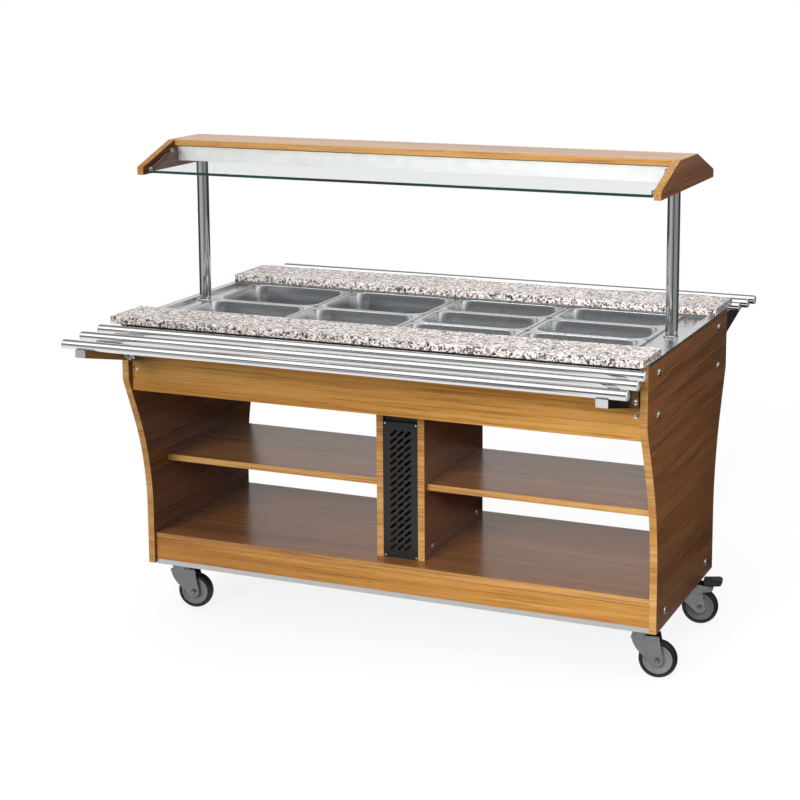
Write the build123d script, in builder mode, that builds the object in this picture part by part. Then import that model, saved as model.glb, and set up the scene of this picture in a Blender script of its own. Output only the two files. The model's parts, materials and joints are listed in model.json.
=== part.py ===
from build123d import *
import math
import os

os.makedirs("parts", exist_ok=True)

# A heated buffet cart on four casters: a wooden body with a steel well for ten food pans,
# two stone worktops, a lit glass hood on two posts and a folding tray slide on each long side.
# Sizes are in millimetres. The origin is on the floor under the middle of the cart, X runs
# along its length and Y from the front to the back.

# Overall sizes
length = 1472
depth = 876
worktop_height = 877
overall_height = 1320

# Materials' thicknesses
stone_t = 20
board_t = 19
sheet_t = 1.5
glass_t = 8

# Clearances
seat_gap = 0.3
hole_gap = 0.1
bearing_gap = 0.05

# Worktops and the steel deck between them
front_stone = 160
rear_stone = 184
stone_edge = 3
end_lip = 6
deck_step = 8
wall_setback = 3
opening_lip = 15
pan_ledge = 9
well_x = -7
end_margin = 77

# Food pans
column_count = 4
pan_gap_x = 4.5
half_pan_gap = 1
third_pan_gap = 1.3
pan_depth = 100
pan_sheet = 1
pan_flange = 11
pan_rim_h = 5
pan_corner = 42
pan_foot_round = 14
pan_rim_corner = 13
pan_draft = 3
main_bar = 20
cross_bar = 14
bar_h = 14

# Tank under the pans, its heater and the casing that closes the body below
tank_depth = 146
tank_margin = 10
tank_sheet = 1.5
tank_round = 14
element_d = 8.5
element_lift = 22
element_pitch = 110
element_inset = 60
element_foot = 12
casing_flange = 24
drain_x = 150
drain_inset = 105
drain_pipe_d = 22
drain_bore = 16
valve_drop = 42
spout_drop = 52

# Side panels
panel_foot = 143
panel_inset = 50
foot_inset = 158
panel_lean = 23.6
panel_curve = 700
panel_curve_start = 299

# Aprons
apron_setback = 67
apron_drop = 215

# Base
base_inset = 168
base_top = 229
plinth_bottom = 141.5
plinth_rebate_h = 2.5
plinth_rebate = 3
trim_h = 14
trim_t = 1.5
frame_channel = 92
frame_sheet = 3
frame_rail = 30

# Shelves
shelf_inset = 243
shelf_top = 438
shelf_t = 18

# Column
column_left = -60
column_inside = 100.5
column_inset = 224
cover_h = 60.5
grille_fold = 14
grille_setback = 1
slot_len = 25
slot_w = 7
slot_tilt = 42
slot_rows = 17
slot_columns = 3
slot_pitch_x = 20.5
slot_pitch_z = 19.5
slot_top_drop = 31
grille_screw_d = 6
grille_screw_h = 2
grille_screw_in = 5.5
grille_screw_end = 4.5
cover_setback = 9
control_setback = 6

# Controls on the rear of the column, measured down from its top
knob_d = 46
knob_h = 18
knob_drop = 103.5
knob_shaft_d = 6
switch_drop = 183.5
switch_w = 22
switch_h = 30
lamp_drop = 233.5
gland_z = 262
switch_box_h = 16
wiring_z = 290
wiring_h = 110
wiring_deep = 330
wiring_gap = 14
gland_d = 24

# Posts and hood
post_d = 33
post_wall = 2
post_inset = 49
post_y = -10
post_flange_d = 44
post_flange_t = 4
hood_end_gap = 5
hood_y = -36
hood_depth = 505
hood_top_depth = 168
hood_h = 80
hood_edge_h = 22
hood_board_t = 16
light_w = 144
light_h = 47
light_end_gap = 6
window_inset = 66
lamp_inset = 40
diffuser_t = 3
tube_lamp_d = 16
glass_drop = 17
glass_inset = 8
glass_reach = 7
clamp_w = 12
clamp_h = 12
clamp_wall = 4

# Tray slides
tray_tube_d = 25
tray_tube_wall = 1.5
long_tube_past = 19
short_tube_past = 13
tube_cap = 3
inner_tube_gap = 29
middle_tube_share = 0.475
outer_tube_inset = 14
tube_drop = 30
tube_step = 4.5
arm_w = 30
arm_inset = 22
arm_past = 205
arm_drop = 49
arm_end_h = 20
arm_root_gap = 12
arm_root_h = 80
pivot_out = 52
pivot_drop = 56
pivot_d = 10
bracket_t = 5
bracket_rise = 43
bracket_w = 24
bracket_foot = 4
bracket_nose = 15
pivot_nut_h = 8

# Casters
caster_inset_x = 61
caster_front_inset = 66
caster_rear_inset = 54
caster_yaw = 9
wheel_d = 100
wheel_w = 30
wheel_core_d = 76
wheel_boss_d = 26
fork_gap = 4
fork_t = 3
fork_trail = 43
fork_back = -24
fork_front = 47
fork_end_r = 15.5
fork_drop = 8
caster_plate = 64
caster_plate_t = 4
caster_top = 141
race_d = 54
race_h = 12
crown_d = 50
crown_edge = 3
crown_bottom = 106
kingpin_d = 10
axle_d = 10
axle_nut_h = 4
axle_dome_d = 12
axle_dome_h = 3.5
wheel_web = 20
pedal_x = 71
pedal_z = 105
pedal_pin_d = 5
pedal_lug_r = 8
pedal_ear_r = 7.5

# Fasteners
dome_d = 20
dome_h = 5
shank_d = 8
apron_screw_d = 14
apron_screw_h = 4
small_dome_d = 16
small_dome_h = 3.5
apron_screw_inset = 14
apron_screw_drop = 153
top_bolt_inset = 93
top_bolt_drops = (57, 164)
foot_bolt_inset = 77
foot_bolt_rise = 40.5
column_bolt_front = 56
column_bolt_rear = 52
column_bolt_rise = 26

# Heights and positions that follow
rim_top = worktop_height - stone_t
plate_top = rim_top - deck_step
plate_bottom = plate_top - sheet_t
panel_top = rim_top - sheet_t
panel_out = length / 2 - sheet_t
panel_in = panel_out - board_t
well_front = -depth / 2 + front_stone
well_rear = depth / 2 - rear_stone
well_y = (well_front + well_rear) / 2
well_depth = well_rear - well_front
half_pitch = well_depth / 2
half_pan = half_pitch - half_pan_gap
third_pitch = well_depth / 3
third_pan = third_pitch - third_pan_gap
pan_pitch_x = (length - 2 * end_margin) / column_count
pan_length = pan_pitch_x - pan_gap_x
row_length = column_count * pan_pitch_x
opening_length = row_length - 2 * pan_ledge
opening_depth = well_depth - 2 * pan_ledge
apron_face = depth / 2 - apron_setback
apron_back = apron_face - board_t
apron_bottom = worktop_height - apron_drop
panel_half_top = depth / 2 - panel_inset
panel_half_foot = depth / 2 - foot_inset
base_half = depth / 2 - base_inset
base_bottom = base_top - board_t
shelf_half = depth / 2 - shelf_inset
column_half = depth / 2 - column_inset
tank_bottom = plate_bottom - tank_depth
casing_top = apron_bottom + 3
casing_bottom = casing_top - sheet_t
grille_top = casing_bottom - cover_h
column_right = column_left + board_t + column_inside
column_x = column_left + board_t + column_inside / 2
pan_seat = plate_top + seat_gap
wheel_r = wheel_d / 2
post_x = length / 2 - post_inset
hood_half = length / 2 - hood_end_gap
hood_bottom = overall_height - hood_h
cheek_in = hood_half - board_t
light_half = cheek_in - light_end_gap
window_half = light_half - window_inset
hood_board_bottom = overall_height - hood_board_t
tube_r = tray_tube_d / 2
arm_outer_x = length / 2 - arm_inset
arm_reach = depth / 2 + arm_past
arm_top = worktop_height - arm_drop
arm_root_y = apron_face + arm_root_gap
arm_root_z = arm_top - arm_root_h
pivot_y = apron_face + pivot_out
pivot_z = arm_top - pivot_drop
tray_long_half = length / 2 + long_tube_past
tray_short_half = length / 2 + short_tube_past
inner_tube_y = depth / 2 + inner_tube_gap
outer_tube_y = arm_reach - outer_tube_inset
middle_tube_y = inner_tube_y + middle_tube_share * (outer_tube_y - inner_tube_y)
tray_tube_y = (inner_tube_y, middle_tube_y, outer_tube_y)
tray_tube_z = [worktop_height - tube_drop - step * tube_step for step in range(3)]
caster_x = length / 2 - caster_inset_x
caster_y = {-1: base_half - caster_front_inset, 1: base_half - caster_rear_inset}

# Where the bolts go through the boards, from the front and rear and above the floor
panel_bolt_spots = [
    (side * (panel_half_top - top_bolt_inset), worktop_height - drop)
    for side in (-1, 1)
    for drop in top_bolt_drops
]
foot_bolt_z = plinth_bottom + foot_bolt_rise
panel_bolt_spots += [(side * (panel_half_foot - foot_bolt_inset), foot_bolt_z) for side in (-1, 1)]
column_bolt_z = base_top + column_bolt_rise
column_bolt_spots = [
    (-column_half + column_bolt_front, column_bolt_z),
    (column_half - column_bolt_rear, column_bolt_z),
]


def save(piece, name):
    piece.label = name
    export_step(piece, f"parts/{name}.step")


def box_between(x0, x1, y0, y1, z0, z1, mode=Mode.ADD):
    # A block given by its faces, which keeps pieces that meet on the same values.
    with Locations(((x0 + x1) / 2, (y0 + y1) / 2, (z0 + z1) / 2)):
        Box(x1 - x0, y1 - y0, z1 - z0, mode=mode)


# Side panels
# The front and rear edges run down, lean in and then curve into the narrower foot.
lean = math.radians(panel_lean)
curve_end_y = panel_half_foot + panel_curve * (1 - math.cos(lean))
curve_end_z = panel_curve_start + panel_curve * math.sin(lean)
panel_corner_z = curve_end_z + (panel_half_top - curve_end_y) / math.tan(lean)


def side_panel(side):
    inner = panel_in if side > 0 else -panel_out
    with BuildPart() as panel:
        with BuildSketch(Plane.YZ.offset(inner)):
            with BuildLine():
                Polyline(
                    (0, panel_top),
                    (panel_half_top, panel_top),
                    (panel_half_top, panel_corner_z),
                    (curve_end_y, curve_end_z),
                )
                CenterArc(
                    (panel_half_foot + panel_curve, panel_curve_start),
                    panel_curve,
                    180 - panel_lean,
                    panel_lean,
                )
                Polyline((panel_half_foot, panel_curve_start), (panel_half_foot, panel_foot), (0, panel_foot))
                mirror(about=Plane.YZ)
            make_face()
            with Locations(*panel_bolt_spots):
                Circle(shank_d / 2 + hole_gap, mode=Mode.SUBTRACT)
        extrude(amount=board_t)
    return panel.part


save(side_panel(-1), "left_side_panel")
save(side_panel(1), "right_side_panel")


# Base: a board on two plinth boards, each with an aluminium channel along its foot
with BuildPart() as base_board:
    box_between(-panel_in, panel_in, -base_half, base_half, base_bottom, base_top)
save(base_board.part, "base_board")


with BuildPart() as plinth_boards:
    for side in (-1, 1):
        y0, y1 = sorted((side * base_half, side * (base_half - board_t)))
        box_between(-panel_in, panel_in, y0, y1, plinth_bottom, base_bottom)
        y0, y1 = sorted((side * base_half, side * (base_half - plinth_rebate)))
        rebate_z = base_bottom - plinth_rebate_h
        box_between(-panel_in, panel_in, y0, y1, rebate_z, base_bottom, mode=Mode.SUBTRACT)
save(plinth_boards.part, "plinth_boards")

with BuildPart() as plinth_trims:
    with BuildSketch(Plane.YZ.offset(-panel_in)):
        for side in (-1, 1):
            mid = side * (base_half - board_t / 2)
            with Locations((mid, plinth_bottom - trim_t + trim_h / 2)):
                Rectangle(board_t + 2 * trim_t, trim_h)
            with Locations((mid, plinth_bottom + trim_h / 2)):
                Rectangle(board_t, trim_h, mode=Mode.SUBTRACT)
    extrude(amount=2 * panel_in)
save(plinth_trims.part, "plinth_trims")


# Under frame: a channel across each end that carries the casters, joined by two rails
channel_out = panel_in
channel_in = panel_in - frame_channel
frame_half = base_half - board_t - trim_t

with BuildPart() as under_frame:
    for side in (-1, 1):
        x0, x1 = sorted((side * channel_out, side * channel_in))
        box_between(x0, x1, -frame_half, frame_half, caster_top, base_bottom)
        box_between(
            x0 + frame_sheet,
            x1 - frame_sheet,
            -frame_half - 1,
            frame_half + 1,
            caster_top + frame_sheet,
            base_bottom + 1,
            mode=Mode.SUBTRACT,
        )
    for side in (-1, 1):
        y0, y1 = sorted((side * frame_half, side * (frame_half - frame_rail)))
        box_between(-channel_in, channel_in, y0, y1, base_bottom - frame_rail, base_bottom)
save(under_frame.part, "under_frame")


# Aprons along both sides, under the overhang of the worktops
with BuildPart() as apron_boards:
    for side in (-1, 1):
        y0, y1 = sorted((side * apron_face, side * apron_back))
        box_between(-panel_in, panel_in, y0, y1, apron_bottom, panel_top)
save(apron_boards.part, "apron_boards")


# Stone worktops
def worktop(y0, y1):
    with BuildPart() as stone:
        box_between(-length / 2, length / 2, y0, y1, rim_top, worktop_height)
        fillet(stone.edges().filter_by(Axis.X), radius=stone_edge)
    return stone.part


save(worktop(-depth / 2, well_front), "front_worktop")
save(worktop(well_rear, depth / 2), "rear_worktop")


# Steel deck: one pressed sheet with a rim, a lower floor, and a lipped opening for the pans
recess_x = panel_in - sheet_t
recess_front = well_front - wall_setback
recess_rear = well_rear + wall_setback
recess_y = (recess_front + recess_rear) / 2
recess_depth = recess_rear - recess_front

with BuildPart() as well_deck:
    with BuildSketch(Plane.XY.offset(plate_bottom - opening_lip)):
        with Locations((well_x, well_y)):
            Rectangle(opening_length + 2 * sheet_t, opening_depth + 2 * sheet_t)
    extrude(amount=opening_lip)
    with BuildSketch(Plane.XY.offset(plate_bottom)):
        with Locations((0, recess_y)):
            Rectangle(2 * recess_x + 2 * sheet_t, recess_depth + 2 * sheet_t)
    extrude(amount=rim_top - plate_bottom)
    with BuildSketch(Plane.XY.offset(rim_top - sheet_t)):
        Rectangle(length, 2 * apron_face)
    extrude(amount=sheet_t)
    with BuildSketch(Plane.XY.offset(plate_top)):
        with Locations((0, recess_y)):
            Rectangle(2 * recess_x, recess_depth)
    extrude(amount=deck_step + 1, mode=Mode.SUBTRACT)
    with BuildSketch(Plane.XY.offset(plate_bottom - opening_lip - 1)):
        with Locations((well_x, well_y)):
            RectangleRounded(opening_length, opening_depth, 2)
    extrude(amount=opening_lip + sheet_t + 2, mode=Mode.SUBTRACT)
    for side in (-1, 1):
        x0, x1 = sorted((side * panel_out, side * length / 2))
        box_between(x0, x1, -panel_half_top, panel_half_top, rim_top - end_lip, rim_top)
save(well_deck.part, "well_deck")


# Support grid: channels that carry the pans' rims between the rows
row_start = well_x - row_length / 2
half_offsets = (-half_pitch / 2, half_pitch / 2)
third_offsets = (-third_pitch, 0, third_pitch)
half_bars = (0,)
third_bars = (-third_pitch / 2, third_pitch / 2)
pan_rows = ((half_pan, half_offsets, half_bars),) * 2 + ((third_pan, third_offsets, third_bars),) * 2


def row_centre(index):
    return row_start + (index + 0.5) * pan_pitch_x


def channel_bar(x0, x1, y0, y1, along_x):
    # An inverted channel: a flat top with a lip folded down on both long sides.
    box_between(x0, x1, y0, y1, plate_top - bar_h, plate_top)
    if along_x:
        box_between(x0, x1, y0 + sheet_t, y1 - sheet_t, plate_top - bar_h, plate_bottom, mode=Mode.SUBTRACT)
    else:
        box_between(x0 + sheet_t, x1 - sheet_t, y0, y1, plate_top - bar_h, plate_bottom, mode=Mode.SUBTRACT)


with BuildPart() as pan_grid:
    for index in range(1, column_count):
        bar_x = row_start + index * pan_pitch_x
        channel_bar(
            bar_x - main_bar / 2,
            bar_x + main_bar / 2,
            well_y - opening_depth / 2,
            well_y + opening_depth / 2,
            False,
        )
    for index, (pan_width, offsets, bars) in enumerate(pan_rows):
        bar_start = row_start + index * pan_pitch_x + main_bar / 2
        bar_end = bar_start + pan_pitch_x - main_bar
        if index == 0:
            bar_start = well_x - opening_length / 2
        if index == column_count - 1:
            bar_end = well_x + opening_length / 2
        for offset_y in bars:
            bar_y = well_y + offset_y
            channel_bar(bar_start, bar_end, bar_y - cross_bar / 2, bar_y + cross_bar / 2, True)
save(pan_grid.part, "pan_grid")


# Food pans: drafted walls, rounded corners and a flat rim with its edge turned down
def pan_cavity(pan_width, inset, deep, foot_round, mode):
    mouth = Plane((0, 0, 0), x_dir=(1, 0, 0), z_dir=(0, 0, -1))
    with BuildPart(mode=Mode.PRIVATE) as hollow:
        with BuildSketch(mouth):
            RectangleRounded(
                pan_length - 2 * pan_flange - 2 * inset,
                pan_width - 2 * pan_flange - 2 * inset,
                pan_corner - inset,
            )
        extrude(amount=deep, taper=pan_draft)
        fillet(hollow.faces().sort_by(Axis.Z)[0].edges(), radius=foot_round)
    add(hollow.part, mode=mode)


def food_pan(pan_width):
    with BuildPart() as pan:
        with BuildSketch(Plane.XY.offset(-pan_rim_h)):
            RectangleRounded(pan_length, pan_width, pan_rim_corner)
        extrude(amount=pan_rim_h)
        with BuildSketch(Plane.XY.offset(-pan_rim_h)):
            RectangleRounded(
                pan_length - 2 * pan_sheet,
                pan_width - 2 * pan_sheet,
                pan_rim_corner - pan_sheet,
            )
        extrude(amount=pan_rim_h - pan_sheet, mode=Mode.SUBTRACT)
        pan_cavity(pan_width, 0, pan_depth, pan_foot_round, Mode.ADD)
        pan_cavity(pan_width, pan_sheet, pan_depth - pan_sheet, pan_foot_round - pan_sheet, Mode.SUBTRACT)
    return pan.part


pan_shapes = {half_pan: food_pan(half_pan), third_pan: food_pan(third_pan)}
pan_number = 0
for index, (pan_width, offsets, bars) in enumerate(pan_rows):
    for offset_y in offsets:
        pan_number += 1
        spot = Location((row_centre(index), well_y + offset_y, pan_seat + pan_rim_h))
        save(pan_shapes[pan_width].moved(spot), f"food_pan_{pan_number}")


# Tank: a pressed steel trough under the deck, with its outlet
tank_length = opening_length + 2 * tank_margin
tank_width = opening_depth + 2 * tank_margin
drain_y = well_y + tank_width / 2 - drain_inset

with BuildPart() as tank:
    with BuildSketch(Plane.XY.offset(tank_bottom)):
        with Locations((well_x, well_y)):
            RectangleRounded(tank_length, tank_width, tank_round)
    extrude(amount=tank_depth)
    with BuildSketch(Plane.XY.offset(tank_bottom + tank_sheet)):
        with Locations((well_x, well_y)):
            RectangleRounded(
                tank_length - 2 * tank_sheet,
                tank_width - 2 * tank_sheet,
                tank_round - tank_sheet,
            )
    extrude(amount=tank_depth, mode=Mode.SUBTRACT)
    with Locations((drain_x, drain_y, tank_bottom)):
        Cylinder(drain_bore / 2, 4 * tank_sheet, mode=Mode.SUBTRACT)
save(tank.part, "bain_marie_tank")


# Heating element: one tube laid in four long runs above the tank floor, on small feet
element_z = tank_bottom + tank_sheet + element_lift
element_half = tank_length / 2 - element_inset
element_bend = element_pitch / 2 - 2
run_ys = [well_y + (index - 1.5) * element_pitch for index in range(4)]
foot_xs = [well_x + share * element_half for share in (-0.85, 0, 0.85)]

element_points = []
for index, run_y in enumerate(run_ys):
    turn_x = -element_half if index % 2 else element_half
    start = (well_x - turn_x, run_y, element_z)
    end = (well_x + turn_x, run_y, element_z)
    element_points += [start, end]

with BuildPart() as element:
    with BuildLine() as element_path:
        FilletPolyline(*element_points, radius=element_bend)
    with BuildSketch(Plane(element_points[0], z_dir=(1, 0, 0))):
        Circle(element_d / 2)
    sweep(path=element_path.wires()[0])
    for foot_x in foot_xs:
        for run_y in run_ys:
            box_between(
                foot_x - element_foot / 2,
                foot_x + element_foot / 2,
                run_y - element_d / 2 - 2,
                run_y + element_d / 2 + 2,
                tank_bottom + tank_sheet,
                element_z,
            )
save(element.part, "heating_element")


# Casing: a folded tray that closes the body under the tank
with BuildPart() as casing:
    box_between(-panel_in, panel_in, -apron_back, apron_back, casing_bottom, casing_bottom + casing_flange)
    box_between(
        -panel_in + sheet_t,
        panel_in - sheet_t,
        -apron_back + sheet_t,
        apron_back - sheet_t,
        casing_top,
        casing_bottom + casing_flange,
        mode=Mode.SUBTRACT,
    )
    with Locations((drain_x, drain_y, casing_bottom)):
        Cylinder(drain_pipe_d / 2 + 1, 6 * sheet_t, mode=Mode.SUBTRACT)
save(casing.part, "well_casing")


# Drain valve: a pipe from the tank, a ball valve body and a spout
valve_z = casing_bottom - valve_drop
valve_body_d = 34
valve_body_h = 34
valve_stem_d = 8
valve_neck = 26
lever_t = 3
lever_len = 95

with BuildPart() as drain_valve:
    with BuildSketch(Plane.XY.offset(valve_z - spout_drop)):
        with Locations((drain_x, drain_y)):
            Circle(drain_pipe_d / 2)
            Circle(drain_bore / 2, mode=Mode.SUBTRACT)
    extrude(amount=tank_bottom - valve_z + spout_drop)
    with BuildSketch(Plane.XY.offset(valve_z - valve_body_h / 2)):
        with Locations((drain_x, drain_y)):
            RegularPolygon(valve_body_d / 2, 6)
    extrude(amount=valve_body_h)
    with BuildSketch(Plane.XZ.offset(-drain_y)):
        with Locations((drain_x, valve_z)):
            Circle(valve_stem_d / 2 + 4)
    extrude(amount=-valve_neck)
    with BuildSketch(Plane.XZ.offset(-drain_y)):
        with Locations((drain_x, valve_z)):
            Circle(valve_stem_d / 2)
    extrude(amount=-(valve_neck + lever_t + 2 * seat_gap))
    with BuildSketch(Plane.XZ.offset(-(drain_y + valve_neck + lever_t + 2 * seat_gap))):
        with Locations((drain_x, valve_z)):
            RegularPolygon(7, 6)
    extrude(amount=-5)
save(drain_valve.part, "drain_valve")

lever_y = drain_y + valve_neck + seat_gap

with BuildPart() as drain_lever:
    with BuildSketch(Plane.XZ.offset(-lever_y)):
        with Locations((drain_x, valve_z)):
            Circle(11)
        with Locations((drain_x + lever_len / 2, valve_z)):
            Rectangle(lever_len, 15)
        with Locations((drain_x + lever_len, valve_z)):
            Circle(7.5)
        with Locations((drain_x, valve_z)):
            Circle(valve_stem_d / 2 + bearing_gap, mode=Mode.SUBTRACT)
    extrude(amount=-lever_t)
save(drain_lever.part, "drain_lever")


# Shelves
with BuildPart() as left_shelf:
    box_between(-panel_in, column_left, -shelf_half, shelf_half, shelf_top - shelf_t, shelf_top)
save(left_shelf.part, "left_shelf")

with BuildPart() as right_shelf:
    box_between(column_right + board_t, panel_in, -shelf_half, shelf_half, shelf_top - shelf_t, shelf_top)
save(right_shelf.part, "right_shelf")


# Column: two boards between the base and the casing
with BuildPart() as column_boards:
    for board_x in (column_left, column_right):
        with BuildSketch(Plane.YZ.offset(board_x)):
            with Locations((0, (base_top + casing_bottom) / 2)):
                Rectangle(2 * column_half, casing_bottom - base_top)
            with Locations(*column_bolt_spots):
                Circle(shank_d / 2 + hole_gap, mode=Mode.SUBTRACT)
        extrude(amount=board_t)
save(column_boards.part, "column_boards")

# Vent grille: a folded sheet with rows of slanting slots
column_x0 = column_left + board_t
column_x1 = column_right
slot_top_z = grille_top - slot_top_drop
grille_face = -column_half + grille_setback
grille_screws = [
    (column_x + side_x * (column_inside / 2 - grille_screw_in), level)
    for side_x in (-1, 1)
    for level in (base_top + grille_screw_end, grille_top - grille_screw_end)
]

with BuildPart() as vent_grille:
    box_between(column_x0, column_x1, grille_face, grille_face + grille_fold, base_top, grille_top)
    box_between(
        column_x0 + sheet_t,
        column_x1 - sheet_t,
        grille_face + sheet_t,
        grille_face + grille_fold,
        base_top + sheet_t,
        grille_top - sheet_t,
        mode=Mode.SUBTRACT,
    )
    with BuildSketch(Plane.XZ.offset(-grille_face)):
        slot_mid_z = slot_top_z - (slot_rows - 1) * slot_pitch_z / 2
        with Locations((column_x, slot_mid_z)):
            with GridLocations(slot_pitch_x, slot_pitch_z, slot_columns, slot_rows):
                SlotOverall(slot_len, slot_w, rotation=slot_tilt)
        with Locations(*grille_screws):
            Circle(grille_screw_d / 4)
    extrude(amount=-sheet_t, mode=Mode.SUBTRACT)
save(vent_grille.part, "vent_grille")

# Cover plate over the wiring, set back above the grille
cover_face = -column_half + cover_setback
with BuildPart() as cover_plate:
    box_between(column_x0, column_x1, cover_face, cover_face + sheet_t, grille_top, casing_bottom)
    box_between(column_x0, column_x1, cover_face, cover_face + grille_fold, grille_top, grille_top + sheet_t)
save(cover_plate.part, "column_cover")

# Control panel on the rear of the column, with its lamp and the cable gland
control_face = column_half - control_setback
knob_z = casing_bottom - knob_drop
switch_z = casing_bottom - switch_drop
lamp_z = casing_bottom - lamp_drop

with BuildPart() as control_panel:
    box_between(column_x0, column_x1, control_face - grille_fold, control_face, base_top, casing_bottom)
    box_between(
        column_x0 + sheet_t,
        column_x1 - sheet_t,
        control_face - grille_fold,
        control_face - sheet_t,
        base_top + sheet_t,
        casing_bottom - sheet_t,
        mode=Mode.SUBTRACT,
    )
    with BuildSketch(Plane.XZ.offset(-(control_face - sheet_t))):
        with Locations((column_x, switch_z)):
            Rectangle(switch_w + 2 * sheet_t, switch_h + 2 * sheet_t)
    extrude(amount=switch_box_h)
    box_between(
        column_x0 + wiring_gap,
        column_x1 - wiring_gap,
        control_face - wiring_deep,
        control_face - sheet_t,
        wiring_z,
        wiring_z + wiring_h,
    )
    with BuildSketch(Plane.XZ.offset(-control_face)):
        with Locations((column_x, knob_z)):
            Circle(knob_shaft_d / 2 + bearing_gap)
    extrude(amount=sheet_t, mode=Mode.SUBTRACT)
    with BuildSketch(Plane.XZ.offset(-control_face)):
        with Locations((column_x, switch_z)):
            Rectangle(switch_w, switch_h)
    extrude(amount=switch_box_h, mode=Mode.SUBTRACT)
    with BuildSketch(Plane.XZ.offset(-(control_face - sheet_t))):
        with Locations((column_x, lamp_z)):
            Circle(6)
    extrude(amount=-(sheet_t + 4))
    with BuildSketch(Plane.XZ.offset(-(control_face - sheet_t))):
        with Locations((column_x, gland_z)):
            Circle(gland_d / 2)
    extrude(amount=-(sheet_t + 16))
    with BuildSketch(Plane.XZ.offset(-control_face)):
        with Locations((column_x, gland_z)):
            RegularPolygon(gland_d / 2 + 3, 6)
    extrude(amount=-6)
    with BuildSketch(Plane.XZ.offset(-(control_face + 18))):
        with Locations((column_x, gland_z)):
            Circle(5)
    extrude(amount=40, mode=Mode.SUBTRACT)
save(control_panel.part, "control_panel")

# Thermostat knob: a fluted disc with a pointer ridge, on its shaft
knob_back = control_face + seat_gap
with BuildPart() as knob:
    with BuildSketch(Plane.XZ.offset(-knob_back)):
        with Locations((column_x, knob_z)):
            Circle(knob_d / 2)
            with PolarLocations(knob_d / 2 + 3, 12):
                Circle(5, mode=Mode.SUBTRACT)
    extrude(amount=-knob_h * 0.6)
    with BuildSketch(Plane.XZ.offset(-knob_back)):
        with Locations((column_x, knob_z)):
            SlotOverall(knob_d - 8, 11, rotation=90)
    extrude(amount=-knob_h)
    with BuildSketch(Plane.XZ.offset(-(knob_back + 2))):
        with Locations((column_x, knob_z)):
            Circle(knob_shaft_d / 2)
    extrude(amount=24)
save(knob.part, "thermostat_knob")

# Mains switch: a rocker in its cut-out
rocker_pivot_y = control_face - 2
with BuildPart() as rocker:
    with BuildSketch(Plane.YZ.offset(column_x - switch_w / 2 + 0.5)):
        with BuildLine():
            Polyline(
                (rocker_pivot_y - 5, switch_z - 5),
                (control_face + 1, switch_z - switch_h / 2 + 1.2),
                (control_face + 3, switch_z),
                (control_face + 5, switch_z + switch_h / 2 - 2.5),
                (rocker_pivot_y - 5, switch_z + 5),
                (rocker_pivot_y - 5, switch_z - 5),
            )
        make_face()
    extrude(amount=switch_w - 1)
save(rocker.part, "mains_switch")


# Posts with their foot flanges
with BuildPart() as posts:
    for side in (-1, 1):
        with BuildSketch(Plane.XY.offset(plate_top)):
            with Locations((side * post_x, post_y)):
                Circle(post_d / 2)
                Circle(post_d / 2 - post_wall, mode=Mode.SUBTRACT)
        extrude(amount=hood_board_bottom - sheet_t - plate_top)
        with BuildSketch(Plane.XY.offset(plate_top)):
            with Locations((side * post_x, post_y)):
                Circle(post_flange_d / 2)
                Circle(post_d / 2 - post_wall, mode=Mode.SUBTRACT)
        extrude(amount=post_flange_t)
save(posts.part, "hood_posts")


# Hood: two shaped cheeks and a board between them
hood_slope = math.atan2(overall_height - hood_bottom - hood_edge_h, (hood_depth - hood_top_depth) / 2)


with BuildPart() as hood_cheeks:
    for cheek_x in (-hood_half, cheek_in):
        with BuildSketch(Plane.YZ.offset(cheek_x)):
            with BuildLine():
                Polyline(
                    (hood_y - hood_depth / 2, hood_bottom),
                    (hood_y - hood_depth / 2, hood_bottom + hood_edge_h),
                    (hood_y - hood_top_depth / 2, overall_height),
                    (hood_y + hood_top_depth / 2, overall_height),
                    (hood_y + hood_depth / 2, hood_bottom + hood_edge_h),
                    (hood_y + hood_depth / 2, hood_bottom),
                    close=True,
                )
            make_face()
        extrude(amount=board_t)
save(hood_cheeks.part, "hood_cheeks")

with BuildPart() as hood_board:
    box_between(
        -cheek_in,
        cheek_in,
        hood_y - hood_top_depth / 2,
        hood_y + hood_top_depth / 2,
        hood_board_bottom,
        overall_height,
    )
save(hood_board.part, "hood_board")

# Light box: a long housing under the board, open below for the diffuser
light_bottom = hood_board_bottom - light_h
with BuildPart() as light_box:
    box_between(
        -light_half,
        light_half,
        hood_y - light_w / 2,
        hood_y + light_w / 2,
        light_bottom,
        hood_board_bottom,
    )
    box_between(
        -light_half + sheet_t,
        light_half - sheet_t,
        hood_y - light_w / 2 + sheet_t,
        hood_y + light_w / 2 - sheet_t,
        light_bottom + sheet_t,
        hood_board_bottom - sheet_t,
        mode=Mode.SUBTRACT,
    )
    box_between(
        -window_half,
        window_half,
        hood_y - light_w / 2 + 10,
        hood_y + light_w / 2 - 10,
        light_bottom,
        light_bottom + sheet_t,
        mode=Mode.SUBTRACT,
    )
    with Locations((-post_x, post_y, light_bottom), (post_x, post_y, light_bottom)):
        Cylinder(post_d / 2 + hole_gap, 4 * sheet_t, mode=Mode.SUBTRACT)
save(light_box.part, "light_box")

with BuildPart() as diffuser:
    box_between(
        -window_half - 6,
        window_half + 6,
        hood_y - light_w / 2 + 4,
        hood_y + light_w / 2 - 4,
        light_bottom + sheet_t,
        light_bottom + sheet_t + diffuser_t,
    )
save(diffuser.part, "lamp_diffuser")

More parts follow.
